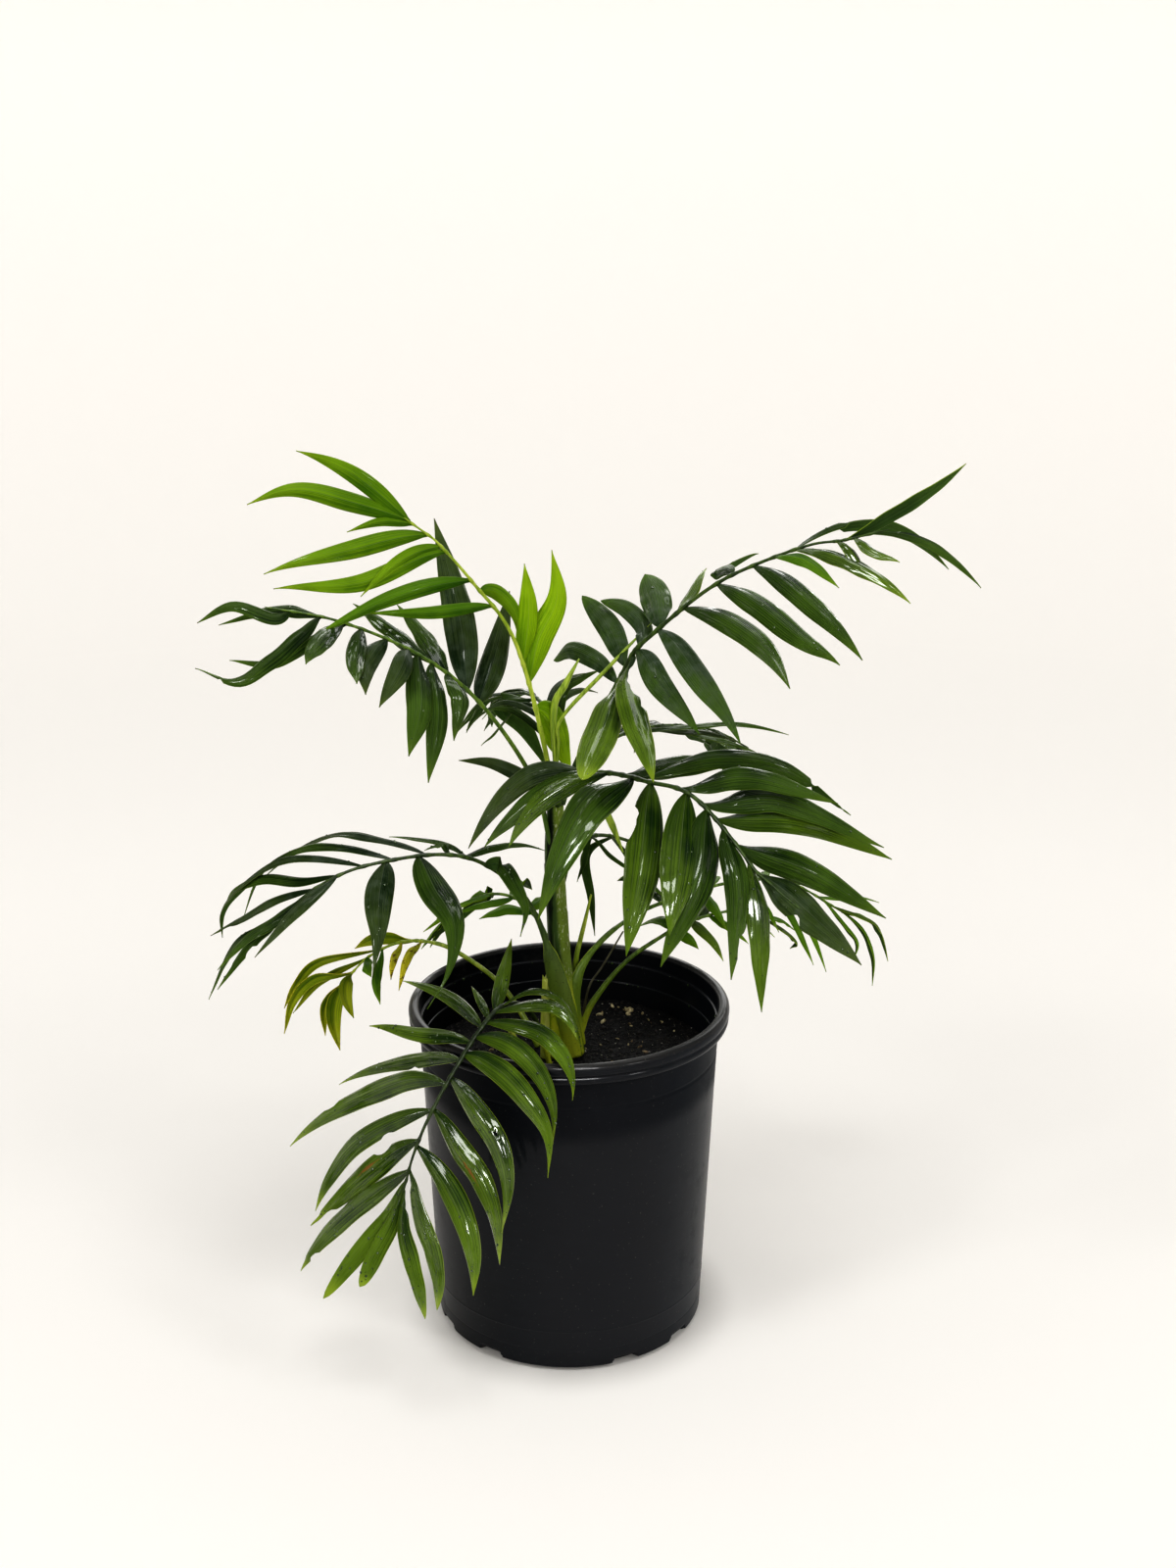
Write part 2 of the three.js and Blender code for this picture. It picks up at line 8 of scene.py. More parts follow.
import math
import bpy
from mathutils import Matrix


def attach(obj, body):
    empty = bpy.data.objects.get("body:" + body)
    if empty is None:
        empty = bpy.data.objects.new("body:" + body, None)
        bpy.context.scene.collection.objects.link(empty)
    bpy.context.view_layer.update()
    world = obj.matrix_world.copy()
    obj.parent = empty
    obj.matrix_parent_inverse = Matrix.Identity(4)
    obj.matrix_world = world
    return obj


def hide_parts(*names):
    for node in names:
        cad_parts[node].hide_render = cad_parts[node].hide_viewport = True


bl_info = {
    "name": "Potted Parlour Palm",
    "version": (1, 0, 0),
    "blender": (4, 5, 0),
    "location": "3D View > Sidebar > Palm",
    "description": "Dresses a packed parlour palm with its fronds, stem, soil, pot and studio",
    "category": "Object",
}

import bpy
import numpy as np
from bpy.props import FloatProperty, FloatVectorProperty, IntProperty, PointerProperty

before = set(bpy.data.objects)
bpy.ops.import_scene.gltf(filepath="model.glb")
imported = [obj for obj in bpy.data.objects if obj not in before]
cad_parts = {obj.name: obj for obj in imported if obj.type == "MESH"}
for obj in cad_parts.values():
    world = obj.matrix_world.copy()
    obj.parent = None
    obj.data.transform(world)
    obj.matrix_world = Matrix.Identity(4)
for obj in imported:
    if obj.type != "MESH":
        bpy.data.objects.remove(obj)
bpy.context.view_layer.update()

MM = 0.001
UP = np.array([0.0, 0.0, 1.0])

# Pot: heights and radii, drops from its top edge, counts of points round it and
# the angles of the notches. Its underside is flat from middle over flat_rows.
POT = dict(
    height=243, rim_radius=115, rim_height=14, lip_radius=107, top_radius=107.5,
    base_radius=97, base_round=6, wall=2.2, floor=3, bead=1.2, bead_drop=8.5,
    groove_drop=36, groove_depth=0.6, line_heights=(16, 32), ledge_drops=(13, 28),
    notch_width=23, notch_height=6.5, notch_depth=9, notch_slant=4,
    notch_angles=[24, 54, 114, 144, 204, 234, 294, 324], middle=40, flat_rows=(84, 86.5, 89), around=460,
)
# Potting mix: lumps holds the length of each kind of lump and its share of the
# relief; pale_bark the places, as the eye sees them, and sizes of pale pieces.
SOIL = dict(
    top=203, flat_radius=52, edge_drop=3.5, highest=2.4, wall_gap=1.1, bottom=3.4, bark_reach=84,
    lumps={22: 0.6, 7: 0.45, 3: 0.35},
    pale_bark=[
        (655, 1022, 4.2), (658, 1016, 2.4), (648, 1026, 2.2), (612, 1035, 3.6), (615, 1043, 3.2),
        (641, 1035, 2.8), (636, 1016, 2.8), (666, 1029, 1.8), (662, 1041, 1.7), (700, 1035, 1.3),
        (644, 1047, 1.4), (688, 1052, 1.4), (630, 1060, 1.5), (613, 1066, 1.4), (652, 1010, 1.4),
        (676, 1043, 1.2), (598, 1070, 1.3), (641, 1066, 1.3)],
)
# What lies on the mix: the setting with its count, least and most size, how flat, and finish.
GRIT = {
    "crumbs": dict(count="crumbs", least=0.5, most=2.4, flat=(1, 0.8, 0.6), finish="crumb"),
    "bark_chips": dict(count="chips", least=1.0, most=3.6, flat=(1, 0.6, 0.35), finish="bark"),
    "perlite": dict(count="perlite", least=0.35, most=1.1, flat=(1, 0.9, 0.8), finish="perlite_grain"),
    "pale_bark": dict(least=1, most=1, flat=(1, 0.75, 0.5), finish="dry_bark"),
}
STEM = dict(
    route=[[-4, -6, 203.3], [-4, -7, 225], [-6, -4, 262], [-8, -1, 309], [-10, 0, 350], [-9, 0, 390]],
    radii=[12.5, 10.5, 8.2, 7.4, 7.0, 6.4], sheath_tops=[232, 252, 281, 318, 352, 379],
    sheath_depth=0.42, slant=9, inset=0.7, foot=204, foot_top=226,
)
# Rods: cut stalks, bare stalks between the sheaths and the unopened leaf, which
# has a fold along it. shown is where the eye sees the last points of a route.
STUBS = {
    "stub_front": dict(route=[[-17, -13, 204], [-17, -14, 234], [-16, -15, 268]], radii=[4.2, 3.6, 3.0]),
    "stub_left": dict(route=[[-34, -24, 204], [-37, -24, 218], [-42, -24, 232]], radii=[2.6, 2.3, 1.8]),
}
STALKS = {
    "stalk_pale": dict(
        route=[[3, 8, 204], [3, 5, 240], [5.3, 2, 273], [8.1, 6, 285], [12.4, 10, 302], [16, 12, 318]],
        radii=[2.6, 2.4, 2.2, 1.9, 1.5, 0.7], finish="rib_pale"),
    "stalk_thin": dict(
        route=[[8, 14, 204], [13.9, 20, 241], [24.7, 30, 256], [39.9, 40, 279]],
        radii=[1.2, 1.0, 0.8, 0.6], finish="rib_dry"),
    "strip_young": dict(
        route=[[-6, 4, 408], [2, 14, 408], [8, 20, 395], [14, 22, 380], [20, 22, 360]],
        shown=[(606, 808), (621, 834), (636, 870)], radii=[0.8, 1.4, 2.6, 2.6, 0.4], finish="spear_skin"),
    "stalk_young": dict(
        route=[[-9, 2, 412], [-14, 6, 455], [-10, 8, 478], [-6, 9, 495]],
        shown=[(565, 724), (577, 698), (591, 672)], radii=[1.2, 1.8, 2.6, 2.4, 0.5], finish="spear_skin"),
}
SPEAR = dict(
    route=[[-9, 0, 390], [-7, 4, 430], [-2, 5, 466], [28, 3, 504], [61, 0, 521]],
    shown=[(573, 733), (617, 685), (667, 633)], radii=[1.6, 1.5, 1.6, 1.8, 1.5, 0.6], fold=0.22, crease=0.12,
)
# Ribs: swelling is the height of a swelling, and its length a share of the rib's;
# margin_out is where a sheath's margin runs, as a share of its radius.
RACHIS = dict(radii=[2.0, 1.7, 1.4, 1.1, 0.6], swelling=0.45, swelling_length=0.008, margin_out=0.92)
# Blades: peak is where a blade is widest, and root and tip are its least half
# widths. across holds its columns, as shares of the half width. The ranges are
# what a leaflet draws from: sway and swell are shares of its length, twist, fold
# and cup are slopes, waves are counted and ripple is a share of the setting.
BLADE = dict(
    peak=0.38, base_fullness=0.72, tip_fullness=1.08, root=1.1, tip=0.2,
    across=[-1, -0.82, -0.6, -0.38, -0.16, -0.05, 0.05, 0.16, 0.38, 0.6, 0.82, 1],
    sway=(-0.025, 0.025), swell=(-0.012, 0.012), twist=(-0.3, 0.3), fold=(0.22, 0.46), cup=(0.05, 0.3),
    waves=(2.2, 4.2), ripple=(0.4, 1.3), pleat=0.3, droop_gain=1.3,
)
# Drops of water: on leaves and inside the pot, from least to least + spread.
DROPS = dict(leaf=(0.35, 0.75, 3), ledge=(0.4, 0.9, 2), ledge_count=90, below_ledge=(0.6, 0.9), sink=0.2)
STUDIO = dict(floor=2300, bend=1100, top=1900, sensor=36.0, aim=300)
# Lamps: place, size, which power, its share of it, and whether it lights or only glares.
LAMPS = {
    "above": dict(place=(100, -950, 2500), size=(600, 500), power="key_power"),
    "left": dict(place=(-1500, -1200, 1900), size=(450, 450), power="fill_power"),
    "right": dict(place=(1600, -1300, 1800), size=(450, 450), power="fill_power"),
    "back": dict(place=(300, 2000, 1300), size=(2200, 1300), power="sheen_power", glares=True),
    "glare": dict(place=(0, 500, 2300), size=(1800, 1200), power="glare_power", share=0.6, glares=True),
    "glare_front": dict(
        place=(200, -1900, 2000), size=(1150, 550), power="glare_power", share=1.5, glares=True),
}
# The eye: shown places are pixels of its 1200 x 1600 picture, tilt and turn radians.
EYE = dict(place=(0.0, -1301.0, 800.0), tilt=0.2955, turn=0.0105, focal=2000.0, middle=(600.0, 800.0))
TONES = {
    "deep": dict(rib="rib_dark", slot="leaf_deep", under="leaf_under"),
    "mid": dict(rib="rib_green", slot="leaf_mid", under="leaf_under"),
    "young": dict(rib="rib_pale", slot="leaf_young", under="leaf_under_young"),
}

# Fronds. Along a row of leaflets the values are even knots with straight lines
# between them: at is where a leaflet springs on the rachis, spread its angle to
# the rachis, lift its rise out of the frond's plane, droop its bend towards the
# ground, turn its roll about its own midrib, and facing how far it turns to face
# the eye. own holds values of single leaflets, lean is added to the lift that
# the knots give a leaflet, and more holds leaflets beside the even ones, at the
# end of the row. slim narrows the knots of width, and a fullness under one
# blunts a tip.
# shown is where the eye sees even parts of a leaflet's centre line, its tip
# last, and for a frond places along its rib by their share of its length.
# Leaf finishes are dealt out by the shares in deal, and pick has those given one
# by one. bites are (side, middle, length, depth) of a blade, hole is (leaflet,
# along, across), and drops counts its drops of water.
# sheath has half widths of a stalk's foot by their share of the rib's length, how
# deep it is for its width, and the half width of the pale margin on its sides.
FRONDS = {
    "upper_left_young": dict(
        tone="young", roll=-75, slim=.78, fullness=1.25, deal=dict(leaf_spring=4, leaf_fresh=1),
        route=[[-14.2, .5, 390], [-15, 0, 424], [-36, -5, 507], [-67, -15, 552], [-105, -30, 591]],
        shown={.8: (467, 576), .9: (443, 550), 1: (412, 528)},
        right=dict(count=5, at=[.3, .38, .44, .7, .98], length=[62, 94, 77, 46, 92],
            width=[20, 15, 14, 14, 15], spread=[110, 33, 20, 114, 4], lift=[-3, 4, 0, -9, 2],
            droop=[110, -7, 13, 91, 21], facing=.5,
            own=dict(width={0: 22, 1: 19, 2: 14, 3: 10}, facing={1: .8, 2: .8, 3: .95}),
            pick=dict(leaf_young=[0, 1, 2]),
            shown={0: [(570, 748), (583, 793)], 1: [(548, 653), (567, 610), (563, 561)],
                2: [(537, 623), (535, 575)], 3: [(509, 607), (527, 630), (530, 663)],
                4: [(362, 487), (302, 460)]}),
        left=dict(count=6, at=[.64, .74, .85, .87, .92, .99], length=[90, 116, 119, 69, 114, 108],
            width=[11, 14, 15, 11, 16, 16], spread=[45, 47, 37, 43, 31, 17], droop=[8, 19, 18, 28, 25, 24],
            facing=.3,
            own=dict(width={3: 9}),
            more=[dict(at=.97, length=42, width=8 * .78, spread=30, droop=20)],
            shown={0: [(440, 624), (372, 626)], 1: [(403, 608), (317, 652)], 2: [(367, 593), (279, 601)],
                3: [(407, 571), (368, 609)], 4: [(357, 562), (269, 586)],
                5: [(358, 513), (302, 501), (252, 515)], 6: [(390, 531), (354, 543)]}),
    ),
    "left_dark": dict(
        tone="deep", drops=40, rib="rib_green", deal=dict(leaf_deep=5, leaf_deep_worn=1),
        route=[[-7, -2, 338], [-13, -4, 364], [-25, -5, 410], [-59, -20, 467], [-98, -35, 504],
            [-148, -50, 530], [-195, -60, 542]],
        right=dict(count=6, at=[.47, .51, .57, .61, .88, .94], length=[83, 128, 69, 80, 48, 62],
            width=[18, 22, 15, 16, 12, 10], spread=[76, 60, 63, 30, 20, 0], lift=[45, 41, 25, 27, 29, 30],
            droop=[6, 1, 26, 26, 19, 19], turn=[-50, -60, -30, -20, -20, -20], facing=.3,
            shown={0: [(503, 667), (520, 603)], 1: [(465, 623), (443, 529)], 2: [(438, 650), (405, 617)],
                3: [(397, 638), (360, 616)], 4: [(278, 621), (223, 638)],
                5: [(280, 630), (237, 617), (201, 636)]}),
        left=dict(count=9, at=[.57, .64, .68, .78, .85, .93], length=[54, 100, 63, 61, 98, 62],
            width=[12, 18, 16, 13, 14, 10], spread=[86, 79, 54, 77, 55, 4], lift=[-16, -14, -5, 0, 8, -13],
            droop=[67, 60, 47, 42, 31, 70], facing=.3,
            own=dict(at={8: .82}, length={1: 90, 7: 110}, width={0: 14, 1: 15, 2: 18, 3: 14, 7: 11, 8: 11}),
            lean={6: -24},
            shown={0: [(473, 713), (463, 756)], 1: [(449, 733), (437, 799)], 2: [(427, 717), (417, 772)],
                3: [(407, 683), (387, 722)], 4: [(377, 677), (373, 709)], 5: [(362, 670), (364, 698)],
                6: [(328, 655), (312, 678)], 7: [(307, 643), (275, 672), (240, 695), (199, 682)],
                8: [(317, 652), (280, 674), (234, 674)]}),
    ),
    "upper_right": dict(
        tone="deep", slim=.82, drops=60, deal=dict(leaf_deep=3, leaf_green=2),
        route=[[-4, -1.8, 390], [6, -4, 422], [34, -15, 481], [52, -25, 514], [100, -45, 551],
            [149, -60, 576], [203, -75, 594]],
        shown={.45: (664, 649), .5: (682, 633), .55: (701, 617), .6: (721, 602), .65: (742, 589),
            .7: (764, 579), .75: (786, 570), .8: (810, 561), .85: (834, 554), .9: (858, 552),
            1: (908, 540)},
        right=dict(count=11, at=[.3, .4, .54, .71, .89, .96], length=[116, 107, 146, 123, 37, 72],
            width=[18, 20, 20, 18, 12, 10], spread=[84, 47, 45, 42, -16, 0],
            lift=[-6, -36, -15, -13, -3, -9], droop=[30, 71, 34, 43, 76, 61], facing=.3,
            own=dict(at={0: .33, 1: .385}, length={2: 100, 8: 45, 9: 40, 10: 80}, width={0: 21, 1: 18},
                spread={8: 10, 9: 15, 10: 20}, lift={8: 0}, droop={8: 95, 10: 50}, fullness={0: .65},
                facing={0: .9, 1: .8}),
            more=[dict(at=.76, length=50, width=12 * .82, spread=45, lift=5, droop=30)],
            pick=dict(leaf_bloom=[2, 3], leaf_fresh=[11], leaf_green=[0, 1, 8]),
            bites={1: [(-1, .22, .13, .8), (-1, .4, .02, .3)]},
            shown={0: [(617, 742), (594, 796)], 1: [(639, 698), (647, 735), (659, 768), (667, 799)],
                2: [(675, 696), (714, 750)], 3: [(715, 690), (756, 760)], 4: [(760, 648), (806, 703)],
                5: [(771, 608), (821, 649), (857, 679)], 6: [(826, 610), (880, 674)],
                7: [(874, 574), (929, 616)], 8: [(876, 573), (894, 594)], 9: [(892, 562), (918, 574)],
                10: [(951, 556), (1001, 600)], 11: [(824, 571), (856, 600)]}),
        left=dict(count=8, at=[.31, .37, .47, .53, .76, .91], length=[93, 85, 71, 65, 119, 129],
            width=[15, 16, 20, 14, 14, 14], spread=[104, 98, 104, 77, 71, 20],
            lift=[48, 42, 41, 27, 33, 30], droop=[10, 1, 18, 22, 76, -15], facing=.3,
            own=dict(length={7: 88}, width={1: 16, 2: 12, 3: 19, 7: 12 * .82}, spread={7: 20},
                lift={7: 33}, droop={7: -20}, turn={7: 50},
                fullness={0: .6, 1: .7, 2: .7, 3: .5}, facing={1: .9, 2: .95, 3: .7}),
            lean={2: 8, 3: 8},
            pick=dict(leaf_bloom=[0, 1, 2, 3]),
            shown={0: [(610, 674), (581, 661), (565, 674)], 1: [(619, 642), (594, 608)],
                2: [(655, 641), (637, 622), (613, 613)], 3: [(667, 610), (658, 586)],
                4: [(705, 601), (721, 580)], 5: [(735, 580), (774, 565)],
                6: [(871, 532), (924, 539), (968, 581)], 7: [(931, 514), (986, 473)]}),
    ),
    "right_front": dict(
        tone="deep", drops=170, deal=dict(leaf_deep=4, leaf_rich=1, leaf_deep_worn=1),
        route=[[-7.6, -4.8, 390], [2, -20, 412], [24, -40, 424], [51, -70, 427], [83, -95, 422],
            [123, -130, 379], [150, -150, 340]],
        shown={.9: (795, 910), 1: (820, 930)},
        right=dict(count=10, at=[.19, .22, .25, .34, .4, .51, .58, .645, .75, .79],
            length=[118, 112, 100, 110, 127, 124, 111, 101, 98, 92],
            width=[16, 16, 15, 28, 24, 24, 24, 16.5, 15, 23],
            spread=[120, 118, 112, 82, 60, 63, 52, 39, 28, -31],
            lift=[20, 15, 10, -1, -7, -7, -5, -5, -8, -12], droop=[65, 65, 65, 51, 61, 60, 58, 57, 52, 26],
            turn=[-40, -35, -30, 0, 0, 0, 0, 0, 0, 0], facing=.6,
            bites={4: [(1, .25, .09, .45)], 7: [(-1, .8, .06, .5)], 9: [(1, .45, .05, .4)]},
            shown={0: [(532, 798), (478, 866)], 1: [(542, 812), (494, 865)], 2: [(553, 812), (519, 865)],
                3: [(595, 832), (549, 939)], 4: [(654, 885), (639, 976)], 5: [(690, 885), (683, 955)],
                6: [(715, 900), (674, 987)], 7: [(752, 910), (746, 1000)], 8: [(776, 954), (777, 1033)],
                9: [(826, 932), (879, 985)]}),
        left=dict(count=6, at=[.3, .357, .479, .558, .613, .692], length=[100, 112, 107, 115, 121, 108],
            width=[17, 14, 16, 18, 18, 19], spread=[75, 60, 21, 36, 47, 35], lift=[6, 2, 10, 16, 16, 17],
            droop=[15, 5, 0, -3, 4, 6], facing=.6,
            shown={1: [(728, 773), (800, 782), (868, 832)], 2: [(765, 791), (855, 820)],
                3: [(797, 814), (902, 865)], 4: [(820, 840), (910, 877)], 5: [(826, 885), (904, 937)]}),
    ),
    "back_right": dict(
        tone="deep", slim=.55, deal=dict(leaf_deep=3, leaf_deep_worn=2),
        route=[[-5.1, 3.5, 390], [12, 34, 412], [38, 76, 418], [72, 110, 416], [110, 140, 404],
            [140, 160, 384]],
        right=dict(count=8, at=[.42, .6, .8, .99], length=[80, 100, 95, 80], width=[15, 20, 19, 15],
            spread=[75, 60, 45, 14], lift=8, droop=[55, 50, 45, 25],
            shown={0: [(700, 741), (755, 738), (805, 750)], 1: [(690, 745), (722, 747), (752, 757)],
                2: [(707, 747), (742, 754), (772, 768)], 3: [(723, 751), (757, 762), (788, 780)],
                4: [(735, 755), (770, 775), (800, 800)], 5: [(750, 768), (785, 800)],
                6: [(752, 775), (780, 812)], 7: [(745, 775), (765, 815)]}),
        left=dict(count=8, at=[.44, .62, .82, .99], length=[78, 98, 92, 76], width=[15, 20, 19, 15],
            spread=[75, 60, 45, 12], lift=8, droop=[55, 50, 45, 25],
            shown={3: [(712, 750), (738, 763)], 4: [(735, 757), (764, 778)], 5: [(725, 760), (735, 785)],
                6: [(735, 770), (750, 800)], 7: [(742, 775), (758, 810)]}),
    ),
    "behind_left": dict(
        tone="deep", slim=.5, deal=dict(leaf_deep=3, leaf_deep_worn=2),
        route=[[-10.6, 4.9, 390], [-9, 24, 414], [-12, 50, 434], [-22, 80, 444], [-38, 108, 442],
            [-56, 136, 430]],
        right=dict(count=7, at=[.3, .5, .75, .99], length=[84, 80, 92, 80], width=[16, 19, 19, 15],
            spread=[53, 54, 50, 12], lift=[20, 14, 12, 5], droop=[12, 25, 20, 25],
            own=dict(width={0: 7, 1: 7, 2: 6, 3: 6}),
            shown={0: [(575, 705), (592, 692), (612, 684)], 1: [(572, 713), (592, 703), (610, 707)],
                2: [(566, 702), (580, 691), (597, 687)], 3: [(532, 703), (514, 706), (502, 722)],
                4: [(528, 706), (515, 715), (508, 728)], 5: [(505, 715), (500, 728), (502, 742)],
                6: [(503, 718), (500, 732), (494, 746)]}),
        left=dict(count=7, at=[.26, .48, .72, .99], length=[83, 80, 83, 76], width=[16, 18, 18, 15],
            spread=[40, 45, 40, 12], lift=[17, 7, 6, 5], droop=[34, 46, 30, 25],
            own=dict(width={0: 6, 1: 7, 2: 7, 3: 15}, facing={3: .9}),
            more=[dict(at=.06, length=70, width=10, spread=80, droop=10, facing=.6)],
            shown={0: [(545, 738), (525, 724), (505, 722), (492, 734)],
                1: [(540, 724), (514, 716), (492, 727), (476, 745)],
                2: [(532, 716), (515, 735), (503, 750), (491, 761)],
                3: [(512, 720), (535, 745), (560, 786)], 4: [(500, 708), (484, 722), (470, 742)],
                5: [(497, 713), (486, 730), (476, 748)], 6: [(492, 716), (480, 730), (466, 748)],
                7: [(540, 795), (503, 779), (468, 776)]}),
    ),
    "left_low": dict(
        tone="deep", stalk=True, slim=.74, drops=130, deal=dict(leaf_deep=3, leaf_deep_worn=2),
        route=[[4, -15, 206], [-1, -17, 235], [-13, -15, 282], [-24, -13, 314], [-42, -19, 336],
            [-75, -30, 357], [-128, -48, 362], [-168, -58, 350], [-210, -68, 318]],
        shown={.4: (521, 899), .5: (486, 878), .6: (441, 872), .7: (394, 879), .8: (344, 894),
            1: (262, 956)},
        sheath=dict(half={0: 8, .09: 8, .17: 7.6, .2: 6.8, .235: 5.2, .25: 3.4, .262: 2.4, .32: 2},
            depth=.6, margin=.55),
        right=dict(count=7, at=[.52, .63, .71, .78, .83, .95], length=[100, 140, 130, 112, 95, 74],
            width=[14, 16, 16, 15, 15, 13], spread=[110, 45, 46, 48, 32, 11], lift=[20, 28, 26, 26, 23, 19],
            droop=[70, 60, 52, 40, 24, 26],
            own=dict(length={0: 92}, width={0: 10}, spread={0: 40}, lift={0: 15}, droop={0: 25}),
            more=[dict(at=.53, length=62, width=9, spread=150, lift=12, droop=15),
                dict(at=.56, length=34, width=9, spread=50, lift=14, droop=20)],
            bites={5: [(1, .7, .05, .5), (-1, .85, .05, .6)], 6: [(1, .5, .04, .6), (1, .8, .06, .7)]},
            shown={0: [(457, 862), (428, 855), (397, 854)],
                1: [(392, 857), (347, 849), (305, 864), (266, 899)],
                2: [(352, 862), (310, 863), (268, 888), (249, 935)],
                3: [(323, 875), (281, 879), (241, 907), (225, 930), (227, 957)],
                4: [(303, 897), (268, 896), (242, 908), (232, 918)],
                5: [(280, 916), (250, 932), (215, 955)], 6: [(238, 963), (213, 1020)],
                7: [(500, 863), (528, 861), (556, 868)], 8: [(455, 861), (447, 862), (433, 868)]}),
        left=dict(count=6, at=[.47, .63, .7, .8, .85, .93], length=[67, 128, 95, 82, 77, 68],
            width=[12, 17, 18, 15, 14, 12], spread=[42, 86, 71, 45, 25, 12], lift=[0, 11, 6, 14, 10, 1],
            droop=[27, 73, 61, 18, 17, 13], facing=.4,
            own=dict(width={0: 11, 1: 18, 2: 18}, fullness={0: 1.6, 1: 2.3, 2: 1.8},
                facing={0: .8, 1: .9, 2: .8}), bites={5: [(-1, .6, .05, .5), (1, .82, .05, .6)]},
            shown={0: [(512, 883), (527, 904), (537, 929), (531, 956)],
                1: [(442, 906), (462, 944), (457, 990), (436, 1030)],
                2: [(387, 915), (386, 956), (380, 998)], 3: [(300, 927), (260, 977)],
                4: [(286, 935), (250, 958), (222, 990)], 5: [(258, 958), (222, 1010)]}),
    ),
    "right_low": dict(
        tone="mid", stalk=True, slim=.85, drops=30, deal=dict(leaf_green=3, leaf_fresh=3),
        route=[[12, -6, 206], [10, -7, 240], [14, -3, 266], [24, 10, 280], [41, 30, 290], [68, 60, 293],
            [120, 85, 300], [167, 110, 292], [215, 120, 262]],
        shown={0: (591, 1066), .106: (585, 1023), .19: (590, 994), .257: (607, 967), .345: (637, 941)},
        sheath=dict(half={0: 5.6, .106: 5.8, .17: 5.2, .21: 3.7, .25: 2.5, .32: 1.8}, depth=.6, margin=.4),
        right=dict(count=7, at=[.48, .6, .73, .84, .92, .99], length=[50, 49, 57, 75, 58, 66], width=10,
            spread=[100, 90, 80, 70, 35, 0], lift=[10, 3, -7, -14, 0, 6], droop=[16, 36, 50, 56, 49, 60],
            own=dict(width={5: 7, 6: 7}),
            shown={3: [(803, 925), (818, 955), (830, 985)], 4: [(822, 935), (835, 960), (843, 992)],
                5: [(862, 942), (876, 962), (871, 979)], 6: [(882, 950), (893, 978), (890, 1006)]}),
        left=dict(count=7, at=[.48, .62, .8, .89, .95, .99], length=[50, 50, 47, 57, 47, 56], width=10,
            spread=[73, 45, 41, 34, 26, 6], lift=[9, 3, 8, 13, 10, 5], droop=[17, 28, 6, 0, 7, 29],
            shown={3: [(822, 893), (840, 905)], 4: [(868, 914), (897, 921)],
                5: [(888, 938), (900, 955), (906, 981)], 6: [(880, 934), (898, 949)]}),
    ),
    "behind_low": dict(
        tone="mid", deal=dict(leaf_spring=3, leaf_fresh=1),
        route=[[-6, 2, 238], [-14, 40, 268], [-30, 66, 288], [-50, 84, 292], [-72, 96, 284],
            [-90, 104, 268]],
        right=dict(count=5, at=[.5, .68, .84, .99], length=[44, 48, 46, 42], width=[11, 12, 12, 10],
            spread=[65, 55, 40, 12], lift=8, droop=30,
            own=dict(width={1: 8, 3: 10}, facing={1: .8, 3: .8}),
            shown={1: [(532, 900), (543, 908)], 3: [(496, 911), (478, 926), (462, 948)]}),
        left=dict(count=5, at=[.48, .66, .82, .98], length=[46, 48, 46, 42], width=[11, 12, 12, 10],
            spread=[68, 55, 40, 10], lift=8, droop=30,
            shown={0: [(522, 926), (505, 930), (489, 938)]}),
    ),
    "behind_right": dict(
        tone="deep", deal=dict(leaf_deep=3, leaf_green=1),
        route=[[-7, 3, 318], [2, 18, 346], [15, 40, 352], [36, 62, 344], [60, 84, 326], [82, 104, 300]],
        right=dict(count=6, at=[.36, .58, .8, .99], length=[76, 60, 60, 52], width=[13, 13, 13, 11],
            spread=[80, 62, 42, 12], lift=6, droop=[80, 45, 40, 30],
            own=dict(width={0: 5}, lift={3: 14}),
            shown={0: [(622, 872), (641, 884), (661, 888)], 1: [(652, 886), (666, 900), (681, 918)]}),
        left=dict(count=6, at=[.4, .6, .82, .98], length=[58, 64, 62, 52], width=[13, 14, 13, 11],
            spread=[70, 58, 42, 10], lift=8, droop=[50, 40, 40, 30],
            own=dict(width={0: 5, 1: 7}),
            shown={0: [(601, 856), (596, 880), (589, 900)], 1: [(597, 872), (602, 915), (607, 955)],
                2: [(652, 885), (641, 892), (630, 899)]}),
    ),
    "right_small": dict(
        tone="mid", deal=dict(leaf_green=2, leaf_fresh=1),
        route=[[11, 14, 203.3], [20, 17, 226], [42, 26, 256], [68, 34, 272], [88, 40, 281], [121, 56, 283],
            [142, 64, 276]],
        shown={0: (591, 1057), .139: (603, 1025), .354: (636, 984), .53: (676, 955)},
        sheath=dict(half={0: 3, .15: 2.6, .3: 1.9, .5: 1.5}, depth=.8, margin=0),
        right=dict(count=5, at=[.58, .7, .8, .99], length=[30, 40, 36, 50], width=[8, 10, 9, 9],
            spread=[65, 70, 50, 15], droop=[33, 47, 39, 40],
            shown={1: [(714, 944), (729, 961), (738, 981)], 4: [(800, 948), (813, 962), (806, 968)]}),
        left=dict(count=4, at=[.58, .7, .84, .98], length=[44, 44, 38, 36], width=9,
            spread=[80, 50, 35, 10], lift=7, droop=[25, 15, 10, 10],
            shown={0: [(672, 937), (651, 946)], 3: [(797, 938), (812, 950)]}),
    ),
    "left_small": dict(
        tone="young", slim=.85, under="leaf_turning", deal=dict(leaf_yellow=3, leaf_fresh=2),
        route=[[-22, 4, 203.3], [-32, 16, 220], [-52, 34, 242], [-82, 52, 258], [-103, 58, 264],
            [-126, 60, 263], [-150, 60, 251], [-168, 58, 232]],
        sheath=dict(half={0: 2.6, .3: 1.9, .6: 1.6}, depth=.9, margin=0),
